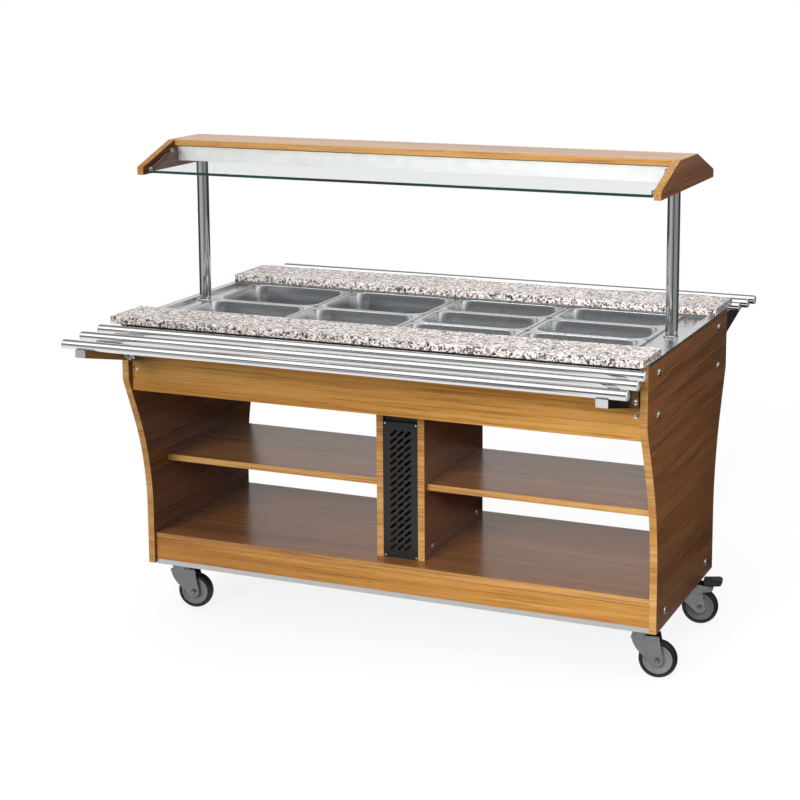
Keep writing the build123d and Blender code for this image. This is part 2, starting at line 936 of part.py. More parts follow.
# Lamp: a tube between two end blocks inside the light box
lamp_half = window_half - lamp_inset
lamp_z0 = hood_board_bottom - sheet_t - 16
with BuildPart() as lamp_tube:
    with BuildSketch(Plane.YZ.offset(-lamp_half)):
        with Locations((hood_y, lamp_z0)):
            Circle(tube_lamp_d / 2)
    extrude(amount=2 * lamp_half)
    for side in (-1, 1):
        x0, x1 = sorted((side * lamp_half, side * (lamp_half + 18)))
        box_between(x0, x1, hood_y - 12, hood_y + 12, lamp_z0 - 10, hood_board_bottom - sheet_t)
save(lamp_tube.part, "lamp_tube")

# Glass panes, front and rear, parallel to the sloping edges of the cheeks
glass_half = cheek_in - glass_inset
glass_sink = (glass_drop + glass_t / 2) * math.sin(hood_slope)
edge_run = ((hood_depth - hood_top_depth) / 2 - glass_sink - seat_gap) / math.cos(hood_slope)
glass_long = edge_run - glass_reach
clamp_spots = (0.08, 0.82)


def glass_plane(side, along, x=0):
    # A plane on the pane's middle, its x along the cart and its y up the slope.
    foot_y = hood_y + side * hood_depth / 2
    foot_z = hood_bottom + hood_edge_h
    run = glass_reach + along
    mid_y = foot_y - side * run * math.cos(hood_slope) - side * glass_drop * math.sin(hood_slope)
    mid_z = foot_z + run * math.sin(hood_slope) - glass_drop * math.cos(hood_slope)
    normal = (0, side * math.sin(hood_slope), math.cos(hood_slope))
    return Plane((x, mid_y, mid_z), x_dir=(1, 0, 0), z_dir=normal)


with BuildPart() as glass_panes:
    for side in (-1, 1):
        with BuildSketch(glass_plane(side, glass_long / 2)):
            Rectangle(2 * glass_half, glass_long)
        extrude(amount=glass_t / 2, both=True)
save(glass_panes.part, "hood_glass")

with BuildPart() as clamps:
    for side in (-1, 1):
        for spot in clamp_spots:
            for end in (-1, 1):
                with BuildSketch(glass_plane(side, spot * glass_long, end * (cheek_in - clamp_w / 2))):
                    Rectangle(clamp_w, clamp_h)
                extrude(amount=glass_t / 2 + clamp_wall, both=True)
    for side in (-1, 1):
        with BuildSketch(glass_plane(side, glass_long / 2)):
            Rectangle(2 * (glass_half + bearing_gap), glass_long)
        extrude(amount=glass_t / 2, both=True, mode=Mode.SUBTRACT)
save(clamps.part, "glass_clamps")


# Tray slides: three tubes on two tapered arms, which fold down about a pivot
arm_seat_gap = 0.05


def tray_tubes(side):
    halves = (tray_short_half, tray_long_half, tray_long_half)
    with BuildPart() as tubes:
        for tube_y, tube_z, half in zip(tray_tube_y, tray_tube_z, halves):
            centre = (side * tube_y, tube_z)
            with BuildSketch(Plane.YZ.offset(-half)):
                with Locations(centre):
                    Circle(tube_r)
                    Circle(tube_r - tray_tube_wall, mode=Mode.SUBTRACT)
            extrude(amount=2 * half)
            for end in (-1, 1):
                with BuildSketch(Plane.YZ.offset(end * half)):
                    with Locations(centre):
                        Circle(tube_r)
                extrude(amount=end * tube_cap, taper=25)
    return tubes.part


def tray_arms(side):
    with BuildPart() as arms:
        for end in (-1, 1):
            x0 = end * arm_outer_x - (arm_w if end > 0 else 0)
            # Seen along the cart: a straight top, a tapered underside and an upright root.
            with BuildSketch(Plane.YZ.offset(x0)):
                with BuildLine():
                    Polyline(
                        (side * arm_reach, arm_top),
                        (side * arm_reach, arm_top - arm_end_h),
                        (side * arm_root_y, arm_root_z),
                        (side * arm_root_y, arm_top),
                        close=True,
                    )
                make_face()
                with Locations((side * pivot_y, pivot_z)):
                    Circle(pivot_d / 2 + bearing_gap, mode=Mode.SUBTRACT)
            extrude(amount=arm_w)
            with BuildSketch(Plane.YZ.offset(x0 + 5)):
                for tube_y, tube_z in zip(tray_tube_y, tray_tube_z):
                    with Locations((side * tube_y, (arm_top + tube_z) / 2 - 3)):
                        Rectangle(16, tube_z - arm_top + 6)
            extrude(amount=arm_w - 10)
        for tube_y, tube_z in zip(tray_tube_y, tray_tube_z):
            with BuildSketch(Plane.YZ.offset(-arm_outer_x)):
                with Locations((side * tube_y, tube_z)):
                    Circle(tube_r + arm_seat_gap)
            extrude(amount=2 * arm_outer_x, mode=Mode.SUBTRACT)
    return arms.part


bracket_x = arm_outer_x - arm_w - seat_gap


def tray_mounts(side):
    # Brackets screwed to the apron, with the bolts that the arms turn on: a domed head
    # outside each arm, the shank through arm and bracket, and a nut behind.
    plate_y0, plate_y1 = sorted((side * apron_face, side * (apron_face + bracket_foot)))
    with BuildPart() as fixings:
        for end in (-1, 1):
            cheek_x0 = min(end * bracket_x, end * (bracket_x - bracket_t))
            plate_x0, plate_x1 = sorted((end * bracket_x, end * (bracket_x - bracket_w)))
            with BuildSketch(Plane.YZ.offset(cheek_x0)):
                with BuildLine():
                    Polyline(
                        (side * pivot_y, pivot_z - bracket_nose),
                        (side * apron_face, pivot_z - bracket_nose),
                        (side * apron_face, pivot_z + bracket_rise),
                        (side * pivot_y, pivot_z + bracket_nose),
                    )
                    ThreePointArc(
                        (side * pivot_y, pivot_z + bracket_nose),
                        (side * (pivot_y + bracket_nose), pivot_z),
                        (side * pivot_y, pivot_z - bracket_nose),
                    )
                make_face()
            extrude(amount=bracket_t)
            box_between(
                plate_x0, plate_x1, plate_y0, plate_y1, pivot_z - bracket_nose, pivot_z + bracket_rise
            )
            outer = end * (arm_outer_x + seat_gap)
            inner = end * (bracket_x - bracket_t)
            with BuildSketch(Plane.YZ.offset(inner)):
                with Locations((side * pivot_y, pivot_z)):
                    Circle(pivot_d / 2)
            extrude(amount=outer - inner)
            with BuildSketch(Plane.YZ.offset(outer)):
                with Locations((side * pivot_y, pivot_z)):
                    Circle(dome_d / 2)
            extrude(amount=end * dome_h, taper=25)
            with BuildSketch(Plane.YZ.offset(inner)):
                with Locations((side * pivot_y, pivot_z)):
                    RegularPolygon(pivot_d * 0.95, 6)
            extrude(amount=-end * pivot_nut_h)
    return fixings.part


for name, side in (("front", -1), ("rear", 1)):
    save(tray_tubes(side), f"{name}_tray_tubes")
    save(tray_arms(side), f"{name}_tray_arms")
    save(tray_mounts(side), f"{name}_tray_mounts")


# Casters, drawn with the swivel axis at the origin and the wheel trailing along X
fork_in = wheel_w / 2 + fork_gap
fork_out = fork_in + fork_t
crown_top = caster_top - caster_plate_t - race_h - seat_gap
fork_top = crown_bottom + fork_drop
nut_face = fork_out + axle_nut_h


def fork_end(angle):
    # A point on the round lower end of the fork's side plates.
    turn = math.radians(angle)
    return (fork_trail + fork_end_r * math.cos(turn), wheel_r + fork_end_r * math.sin(turn))


# The bowed rear edge of the side plates, as shares of the way from its top to its foot, and
# the outline of a pedal measured from its pin
fork_bow = ((0.037, 0.165), (0.166, 0.385), (0.406, 0.612), (0.702, 0.812))
pedal_outline = ((-19, 22), (23, 25.7), (30, 23.6), (32, 17), (28, 9), (9, 7), (8, 0), (-8, 0), (-17, 14))
bow_foot = fork_end(214)
bow = [
    (fork_back + u * (bow_foot[0] - fork_back), fork_top + v * (bow_foot[1] - fork_top))
    for u, v in fork_bow
]


def caster_mount():
    with BuildPart() as mount:
        with BuildSketch(Plane.XY.offset(caster_top - caster_plate_t)):
            RectangleRounded(caster_plate, caster_plate, 8)
        extrude(amount=caster_plate_t)
        with BuildSketch(Plane.XY.offset(caster_top - caster_plate_t - race_h)):
            Circle(race_d / 2)
        extrude(amount=race_h)
        with BuildSketch(Plane.XY.offset(crown_bottom - seat_gap)):
            Circle(kingpin_d / 2)
        extrude(amount=caster_top - caster_plate_t - crown_bottom)
        with BuildSketch(Plane.XY.offset(crown_bottom - seat_gap - 7)):
            RegularPolygon(8.5, 6)
        extrude(amount=7)
        chamfer(mount.faces().filter_by(Axis.Z).group_by(Axis.Z)[-2].edges().filter_by(GeomType.CIRCLE), 1)
    return mount.part


def caster_fork(braked):
    with BuildPart() as fork:
        with BuildSketch(Plane.XY.offset(crown_bottom)):
            Circle(crown_d / 2)
        extrude(amount=crown_top - crown_bottom)
        chamfer(fork.edges().group_by(Axis.Z)[-1], crown_edge)
        box_between(-crown_d / 2, crown_d / 2, -fork_out, fork_out, crown_bottom, crown_bottom + fork_t)
        for side in (-1, 1):
            with BuildSketch(Plane.XZ.offset(-side * fork_in)):
                with BuildLine():
                    Spline((fork_back, fork_top), *bow, bow_foot)
                    ThreePointArc(bow_foot, fork_end(-45), fork_end(11))
                    Polyline(fork_end(11), (fork_front, fork_top), (fork_back, fork_top))
                make_face()
            extrude(amount=-side * fork_t)
            with BuildSketch(Plane.XZ.offset(-side * fork_out)):
                with Locations((fork_trail, wheel_r)):
                    RegularPolygon(8.5, 6)
            extrude(amount=-side * axle_nut_h)
            with BuildSketch(Plane.XZ.offset(-side * nut_face)):
                with Locations((fork_trail, wheel_r)):
                    Circle(axle_dome_d / 2)
            extrude(amount=-side * axle_dome_h, taper=25)
        with BuildSketch(Plane.XZ.offset(nut_face)):
            with Locations((fork_trail, wheel_r)):
                Circle(axle_d / 2)
        extrude(amount=-2 * nut_face)
        if braked:
            for side in (-1, 1):
                with BuildSketch(Plane.XZ.offset(-side * fork_in)):
                    with Locations((pedal_x, pedal_z)):
                        Circle(pedal_ear_r)
                    with Locations((fork_front - 12, fork_top - 12)):
                        Circle(12)
                    make_hull()
                extrude(amount=-side * fork_t)
            with BuildSketch(Plane.XZ.offset(fork_out)):
                with Locations((pedal_x, pedal_z)):
                    Circle(pedal_pin_d / 2)
            extrude(amount=-2 * fork_out)
        with BuildSketch(Plane.XY.offset(crown_bottom)):
            Circle(kingpin_d / 2 + bearing_gap)
        extrude(amount=crown_top - crown_bottom, mode=Mode.SUBTRACT)
    return fork.part


def caster_wheel():
    rim_r = wheel_core_d / 2
    boss_half = fork_in - seat_gap
    with BuildPart() as wheel:
        with BuildSketch(Plane.YZ):
            with BuildLine():
                Polyline(
                    (-boss_half, axle_d / 2 + bearing_gap),
                    (-boss_half, wheel_boss_d / 2),
                    (-wheel_web / 2, wheel_boss_d / 2 + 3),
                    (-wheel_web / 2, rim_r - 6),
                    (-wheel_w / 2 + 2, rim_r - 4),
                    (-wheel_w / 2 + 2, rim_r),
                    (wheel_w / 2 - 2, rim_r),
                    (wheel_w / 2 - 2, rim_r - 4),
                    (wheel_web / 2, rim_r - 6),
                    (wheel_web / 2, wheel_boss_d / 2 + 3),
                    (boss_half, wheel_boss_d / 2),
                    (boss_half, axle_d / 2 + bearing_gap),
                    close=True,
                )
            make_face()
        revolve(axis=Axis.Y)
    with BuildPart() as tyre:
        with BuildSketch(Plane.YZ):
            with BuildLine():
                Polyline(
                    (-wheel_w / 2 + 3, wheel_r - 2.5),
                    (-wheel_w / 2, wheel_r - 6),
                    (-wheel_w / 2, rim_r),
                    (wheel_w / 2, rim_r),
                    (wheel_w / 2, wheel_r - 6),
                    (wheel_w / 2 - 3, wheel_r - 2.5),
                )
                ThreePointArc(
                    (wheel_w / 2 - 3, wheel_r - 2.5),
                    (0, wheel_r),
                    (-wheel_w / 2 + 3, wheel_r - 2.5),
                )
            make_face()
        revolve(axis=Axis.Y)
    pair = Compound(children=[wheel.part, tyre.part])
    return pair.moved(Location((fork_trail, 0, wheel_r)))


def brake_pedal():
    with BuildPart() as pedal:
        with BuildSketch(Plane.XZ.offset(-(fork_in - 1))):
            with BuildLine():
                Polyline(*[(pedal_x + x, pedal_z + z) for x, z in pedal_outline], close=True)
            make_face()
            with Locations((pedal_x, pedal_z)):
                Circle(pedal_lug_r)
                Circle(pedal_pin_d / 2 + bearing_gap, mode=Mode.SUBTRACT)
        extrude(amount=2 * (fork_in - 1))
    return pedal.part


mounts = []
for name, x_side, y_side in (
    ("front_left", -1, -1),
    ("front_right", 1, -1),
    ("rear_left", -1, 1),
    ("rear_right", 1, 1),
):
    braked = y_side > 0
    turned = Location((x_side * caster_x, y_side * caster_y[y_side], 0), (0, 0, caster_yaw))
    mounts.append(caster_mount().moved(Location((x_side * caster_x, y_side * caster_y[y_side], 0))))
    save(caster_fork(braked).moved(turned), f"{name}_fork")
    save(caster_wheel().moved(turned), f"{name}_wheel")
    if braked:
        save(brake_pedal().moved(turned), f"{name}_brake")
save(Compound(children=mounts), "caster_mounts")


# Bolts with domed heads through the boards, and small screws on their faces
def domed_bolts(face, way, spots, head_d, head_h):
    with BuildPart() as bolts:
        with BuildSketch(Plane.YZ.offset(face)):
            with Locations(*spots):
                Circle(head_d / 2)
        extrude(amount=way * head_h, taper=30)
        with BuildSketch(Plane.YZ.offset(face)):
            with Locations(*spots):
                Circle(shank_d / 2)
        extrude(amount=-way * board_t)
    return bolts.part


def face_screws(face, way, spots, head_d, head_h, lean):
    with BuildPart() as screws:
        with BuildSketch(Plane.XZ.offset(-face)):
            with Locations(*spots):
                Circle(head_d / 2)
        extrude(amount=-way * head_h, taper=lean)
    return screws.part


apron_screw_z = worktop_height - apron_screw_drop
apron_screws = [(side * (panel_in - apron_screw_inset), apron_screw_z) for side in (-1, 1)]

with BuildPart() as fasteners:
    add(domed_bolts(-panel_out, -1, panel_bolt_spots, dome_d, dome_h))
    add(domed_bolts(panel_out, 1, panel_bolt_spots, dome_d, dome_h))
    add(domed_bolts(column_left, -1, column_bolt_spots, small_dome_d, small_dome_h))
    add(domed_bolts(column_right + board_t, 1, column_bolt_spots, small_dome_d, small_dome_h))
    add(face_screws(-apron_face, -1, apron_screws, apron_screw_d, apron_screw_h, 30))
    add(face_screws(apron_face, 1, apron_screws, apron_screw_d, apron_screw_h, 30))
    add(face_screws(grille_face, -1, grille_screws, grille_screw_d, grille_screw_h, 10))
save(fasteners.part, "fasteners")
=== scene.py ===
import json
import math

import bmesh
import bpy
from mathutils import Matrix, Vector


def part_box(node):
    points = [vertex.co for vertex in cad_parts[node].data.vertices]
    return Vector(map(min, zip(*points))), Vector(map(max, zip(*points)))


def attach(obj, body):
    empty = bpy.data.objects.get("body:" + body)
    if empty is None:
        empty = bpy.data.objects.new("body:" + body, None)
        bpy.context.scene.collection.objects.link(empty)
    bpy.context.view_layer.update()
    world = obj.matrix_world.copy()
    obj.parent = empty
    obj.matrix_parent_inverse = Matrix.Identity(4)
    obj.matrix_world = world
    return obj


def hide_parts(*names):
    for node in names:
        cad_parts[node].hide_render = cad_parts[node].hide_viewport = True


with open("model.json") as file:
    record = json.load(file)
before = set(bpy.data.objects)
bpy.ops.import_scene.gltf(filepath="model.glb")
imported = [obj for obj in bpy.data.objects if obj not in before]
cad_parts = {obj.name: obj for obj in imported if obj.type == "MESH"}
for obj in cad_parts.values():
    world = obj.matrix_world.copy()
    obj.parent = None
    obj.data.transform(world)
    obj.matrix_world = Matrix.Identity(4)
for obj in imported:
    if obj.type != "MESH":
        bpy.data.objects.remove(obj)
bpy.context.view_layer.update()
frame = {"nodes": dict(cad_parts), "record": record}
cadNodes = frame["nodes"]
bodyOf = {node: body for body, nodes in frame["record"]["behaviour"]["bodies"].items() for node in nodes}
scene = bpy.context.scene
print("frame loaded,", len(cadNodes), "nodes")

# the camera stands where the photograph was taken from
cameraSetup = {
    "place": (1.94458, -4.62225, 1.85068),
    "yaw": 0.4099419,
    "pitch": 0.1647535,
    "roll": -0.0057057,
    "lens": 84.2169,
    "shift": (-0.00738, -0.18),
}


def makeCamera(setup):
    yaw, pitch, roll = setup["yaw"], setup["pitch"], setup["roll"]
    ahead = Vector((-math.sin(yaw) * math.cos(pitch), math.cos(yaw) * math.cos(pitch), -math.sin(pitch)))
    level = Vector((math.cos(yaw), math.sin(yaw), 0))
    over = level.cross(ahead)
    right = level * math.cos(roll) + over * math.sin(roll)
    up = over * math.cos(roll) - level * math.sin(roll)
    data = bpy.data.cameras.new("photoCamera")
    data.sensor_width = 36
    data.sensor_fit = "HORIZONTAL"
    data.lens = setup["lens"]
    data.shift_x, data.shift_y = setup["shift"]
    data.clip_end = 100
    camera = bpy.data.objects.new("photoCamera", data)
    scene.collection.objects.link(camera)
    turn = Matrix((right, up, -ahead)).transposed().to_4x4()
    camera.matrix_world = Matrix.Translation(Vector(setup["place"])) @ turn
    scene.camera = camera


makeCamera(cameraSetup)
print("camera placed")


# shader tools
def tone(red, green, blue):
    # a colour as read on a screen, 0 to 255, as linear light
    def linear(level):
        level /= 255
        return level / 12.92 if level <= 0.04045 else ((level + 0.055) / 1.055) ** 2.4

    return (linear(red), linear(green), linear(blue), 1)


def grey(level):
    return (level, level, level, 1)


def scaled(colour, share, lift=0.0):
    return tuple(min(1.0, level * share + lift) for level in colour[:3]) + (1,)


class Wire:
    # one output of a node; sums on wires lay Math nodes
    def __init__(self, nodes, socket):
        self.nodes = nodes
        self.socket = socket

    def __add__(self, other):
        return self.nodes.math("ADD", self, other)

    __radd__ = __add__

    def __sub__(self, other):
        return self.nodes.math("SUBTRACT", self, other)

    def __rsub__(self, other):
        return self.nodes.math("SUBTRACT", other, self)

    def __mul__(self, other):
        return self.nodes.math("MULTIPLY", self, other)

    __rmul__ = __mul__

    def __gt__(self, other):
        return self.nodes.math("GREATER_THAN", self, other)

    def __lt__(self, other):
        return self.nodes.math("LESS_THAN", self, other)

    def span(self, low, high):
        # 0 below low, 1 above high, even between them
        return self.nodes.node("ShaderNodeMapRange", {"clamp": True}, {0: self, 1: low, 2: high})


class Nodes:
    # lays nodes in a tree, of a material or of the world
    def __init__(self, tree):
        self.tree = tree

    def node(self, kind, settings=None, values=None, output=0):
        made = self.tree.nodes.new(kind)
        for name, value in (settings or {}).items():
            if name == "stops":
                self.setStops(made.color_ramp, value)
            elif name == "interpolation":
                made.color_ramp.interpolation = value
            else:
                setattr(made, name, value)
        for name, value in (values or {}).items():
            self.plug(made.inputs[name], value)
        return None if output is None else Wire(self, made.outputs[output])

    def setStops(self, ramp, stops):
        while len(ramp.elements) < len(stops):
            ramp.elements.new(0.5)
        for element, (spot, colour) in zip(ramp.elements, stops):
            element.position = spot
            element.color = colour

    def plug(self, socket, value):
        if isinstance(value, Wire):
            self.tree.links.new(value.socket, socket)
        else:
            socket.default_value = value

    def math(self, operation, first, second):
        return self.node("ShaderNodeMath", {"operation": operation}, {0: first, 1: second})

    def noise(self, place, scale, detail=3.0, roughness=0.5, distortion=0.0):
        values = {"Vector": place, "Scale": scale, "Detail": detail, "Roughness": roughness}
        values["Distortion"] = distortion
        return self.node("ShaderNodeTexNoise", {}, values)

    def blend(self, share, first, second):
        return self.node("ShaderNodeMix", {"data_type": "RGBA"}, {0: share, 6: first, 7: second}, 2)

    def vector(self, operation, first, second):
        slot = "Scale" if operation == "SCALE" else 1
        return self.node("ShaderNodeVectorMath", {"operation": operation}, {0: first, slot: second})

    def ramp(self, share, stops, interpolation="LINEAR"):
        return self.node("ShaderNodeValToRGB", {"stops": stops, "interpolation": interpolation}, {0: share})

    def bump(self, height, distance, strength=1.0):
        return self.node("ShaderNodeBump", {}, {"Height": height, "Distance": distance, "Strength": strength})


class Finish(Nodes):
    # a new material, patterned on Object coordinates
    def __init__(self, name):
        self.material = bpy.data.materials.new(name)
        self.material.use_nodes = True
        super().__init__(self.material.node_tree)
        self.shader = self.tree.nodes["Principled BSDF"]
        self.place = self.node("ShaderNodeTexCoord", output="Object")

    def stretched(self, scale, location=(0, 0, 0)):
        values = {"Vector": self.place, "Location": location, "Scale": scale}
        return self.node("ShaderNodeMapping", {}, values)

    def coat(self, values):
        for name, value in values.items():
            self.plug(self.shader.inputs[name], value)
        return self.material


# laminated boards: honey oak; the shelf and face tones are darker browner copies of it, painted shade for the
# shelves and the broad upright faces
boardTones = {
    "front": (tone(166, 106, 43), tone(195, 136, 62), tone(213, 158, 84)),
    "shadedShelf": (tone(126, 78, 40), tone(154, 100, 54), tone(176, 124, 74)),
    "face": (tone(114, 70, 40), tone(144, 94, 56), tone(162, 112, 70)),
    "edge": (tone(172, 116, 58), tone(202, 148, 82), tone(222, 174, 108)),
}
boardGrain = {
    "along": 0.5,  # bands per metre along the grain
    "across": 11.0,
    "poreAlong": 24.0,
    "poreAcross": 850.0,
    "lineDepth": 0.62,  # how far drawn lines and pores go towards the deep tone
    "poreDepth": 0.50,
    "deepShare": 0.50,
    "relief": 0.00005,
}


def makeLaminate(name, grain, tones, shift, streak=1.0, rough=0.24, sheen=0.32):
    finish = Finish(name)
    order = "xyz".index(grain)

    def grainPlace(along, across):
        scale = [across] * 3
        scale[order] = along
        return finish.stretched(scale, shift)

    along, across = boardGrain["along"], boardGrain["across"]
    bands = finish.noise(grainPlace(along, across), 1.0, 2.0, 0.5, 0.5)
    veins = finish.noise(grainPlace(along * 2.2, across * 5), 1.0, 4.0, 0.62, 0.3)
    lines = finish.noise(grainPlace(along * 7, across * 23), 1.0, 3.0, 0.6)
    pores = finish.noise(grainPlace(boardGrain["poreAlong"], boardGrain["poreAcross"]), 1.0, 2.0, 0.6)
    wander = bands * 0.34 + veins * 0.40 + lines * 0.26
    dark, middle, light = tones
    colour = finish.ramp(wander, [(0.38, dark), (0.50, middle), (0.63, light)])
    deep = scaled(dark, boardGrain["deepShare"])
    drawn = (1 - lines.span(0.34, 0.46)) * boardGrain["lineDepth"] * streak
    colour = finish.blend(drawn, colour, deep)
    dotted = (1 - pores.span(0.33, 0.45)) * boardGrain["poreDepth"]
    colour = finish.blend(dotted, colour, deep)
    roughness = veins * 0.12 + dotted * 0.2 + (rough - 0.06)
    normal = finish.bump(1 - dotted - drawn * 0.3, boardGrain["relief"], 0.4)
    finish.shader.inputs["Specular IOR Level"].default_value = sheen
    return finish.coat({"Base Color": colour, "Roughness": roughness, "Normal": normal})


# speckled stone: pinkish white crystals with grey and black grains between them
stoneLook = {
    "grain": 125.0,  # large and small crystals per metre
    "fleck": 270.0,
    "wobble": 0.004,
    "wobbleScale": 240.0,
    "tones": [
        (0.0, tone(48, 46, 47)),
        (0.08, tone(132, 128, 128)),
        (0.20, tone(194, 186, 184)),
        (0.38, tone(228, 217, 213)),
        (0.64, tone(246, 238, 233)),
        (0.92, tone(222, 200, 178)),
    ],
    "veil": tone(218, 200, 194),
    "black": tone(46, 42, 43),
    "blackShare": (0.15, 0.12),  # everywhere, and more where clumped
    "grey": tone(118, 112, 112),
    "white": tone(250, 245, 240),
    "polish": 0.34,
    "sheen": 0.35,
}


def makeStone(name):
    finish = Finish(name)
    values = {"Vector": finish.place, "Scale": stoneLook["wobbleScale"], "Detail": 2.0}
    drift = finish.node("ShaderNodeTexNoise", {}, values, 1)
    drift = finish.vector("SCALE", drift, stoneLook["wobble"])
    place = finish.vector("ADD", finish.place, drift)

    def crystals(scale):
        cells = finish.node("ShaderNodeTexVoronoi", {}, {"Vector": place, "Scale": scale}, 1)
        return [finish.node("ShaderNodeSeparateColor", {}, {0: cells}, band) for band in (0, 1)]

    broad, shade = crystals(stoneLook["grain"])
    small, other = crystals(stoneLook["fleck"])
    clump = finish.noise(finish.place, 30.0, 3.0, 0.6)
    colour = finish.ramp(broad, stoneLook["tones"], "CONSTANT")
    colour = finish.blend(shade * 0.18, colour, stoneLook["veil"])
    everywhere, clumped = stoneLook["blackShare"]
    black = (small < everywhere + clump * clumped) * 0.94
    colour = finish.blend(black, colour, stoneLook["black"])
    colour = finish.blend((other < 0.14) * 0.6, colour, stoneLook["grey"])
    colour = finish.blend((small > 0.84) * 0.75, colour, stoneLook["white"])
    rough = stoneLook["polish"] + black * 0.10
    finish.shader.inputs["Specular IOR Level"].default_value = stoneLook["sheen"]
    return finish.coat({"Base Color": colour, "Roughness": rough})


def makeMetal(name, colour, rough, brush, depth=0.00001, patch=0.0, streaks=0.5, spread=0.10):
    # brush gives the density of the brushing lines along each axis, patch the share of dull spots
    finish = Finish(name)
    lines = finish.noise(finish.stretched(brush), 1.0, 3.0, 0.6)
    clouds = finish.noise(finish.place, 7.0, 3.0, 0.5)
    surface = finish.blend(lines.span(0.3, 0.7) * streaks + clouds * 0.2, scaled(colour, 0.82), colour)
    if patch:
        spots = finish.noise(finish.place, 90.0, 3.0, 0.65)
        surface = finish.blend(spots.span(0.5, 0.72) * patch, surface, scaled(colour, 0.72))
    roughness = rough + lines * spread + clouds * 0.04 - 0.5 * spread
    values = {"Base Color": surface, "Roughness": roughness, "Metallic": 1.0}
    if depth:
        values["Normal"] = finish.bump(lines, depth, 0.6)
    return finish.coat(values)


def makePowderCoat(name, colour, rough):
    finish = Finish(name)
    grain = finish.noise(finish.place, 1500.0, 2.0, 0.6)
    clouds = finish.noise(finish.place, 12.0, 3.0, 0.5)
    surface = finish.blend(grain.span(0.35, 0.7) * 0.6 + clouds * 0.15, colour, scaled(colour, 1.35))
    normal = finish.bump(grain, 0.00008, 0.5)
    return finish.coat({"Base Color": surface, "Roughness": rough + grain * 0.12, "Normal": normal})


def makePlastic(name, colour, rough, grainScale, depth):
    finish = Finish(name)
    grain = finish.noise(finish.place, grainScale, 2.0, 0.5)
    wear = finish.noise(finish.place, 24.0, 4.0, 0.6)
    surface = finish.blend(wear.span(0.4, 0.75) * 0.5, colour, scaled(colour, 1.3, 0.004))
    roughness = rough + grain * 0.10 + wear * 0.06
    normal = finish.bump(grain, depth, 0.5)
    return finish.coat({"Base Color": surface, "Roughness": roughness, "Normal": normal})


def makeRubber(name):
    finish = Finish(name)
    grain = finish.noise(finish.place, 700.0, 3.0, 0.6)
    dust = finish.noise(finish.place, 30.0, 4.0, 0.6)
    surface = finish.blend(dust.span(0.5, 0.8) * 0.6, tone(6, 6, 7), tone(24, 23, 23))
    rough = 0.50 + grain * 0.16 + dust * 0.08
    normal = finish.bump(grain, 0.0001, 0.5)
    return finish.coat({"Base Color": surface, "Roughness": rough, "Normal": normal})


def makeGlass(name):
    finish = Finish(name)
    smear = finish.noise(finish.stretched((3.0, 9.0, 9.0)), 1.0, 4.0, 0.6)
    rough = smear.span(0.62, 0.85) * 0.03
    tint = finish.blend(smear, tone(249, 253, 252), tone(253, 255, 254))
    finish.shader.inputs["Transmission Weight"].default_value = 1.0
    finish.shader.inputs["IOR"].default_value = 1.45
    return finish.coat({"Base Color": tint, "Roughness": rough})


def makeGlassEdge(name):
    finish = Finish(name)
    depth = finish.noise(finish.stretched((2.0, 60.0, 60.0)), 1.0, 3.0, 0.6)
    colour = finish.blend(depth.span(0.3, 0.7), tone(3, 38, 36), tone(14, 78, 72))
    return finish.coat({"Base Color": colour, "Roughness": 0.08 + depth * 0.06})


def makeOpal(name, colour, glow):
    finish = Finish(name)
    haze = finish.noise(finish.stretched((4.0, 30.0, 30.0)), 1.0, 3.0, 0.5)
    surface = finish.blend(haze.span(0.35, 0.7), colour, scaled(colour, 0.93))
    finish.shader.inputs["Emission Strength"].default_value = glow
    return finish.coat({"Base Color": surface, "Roughness": 0.32 + haze * 0.1, "Emission Color": surface})


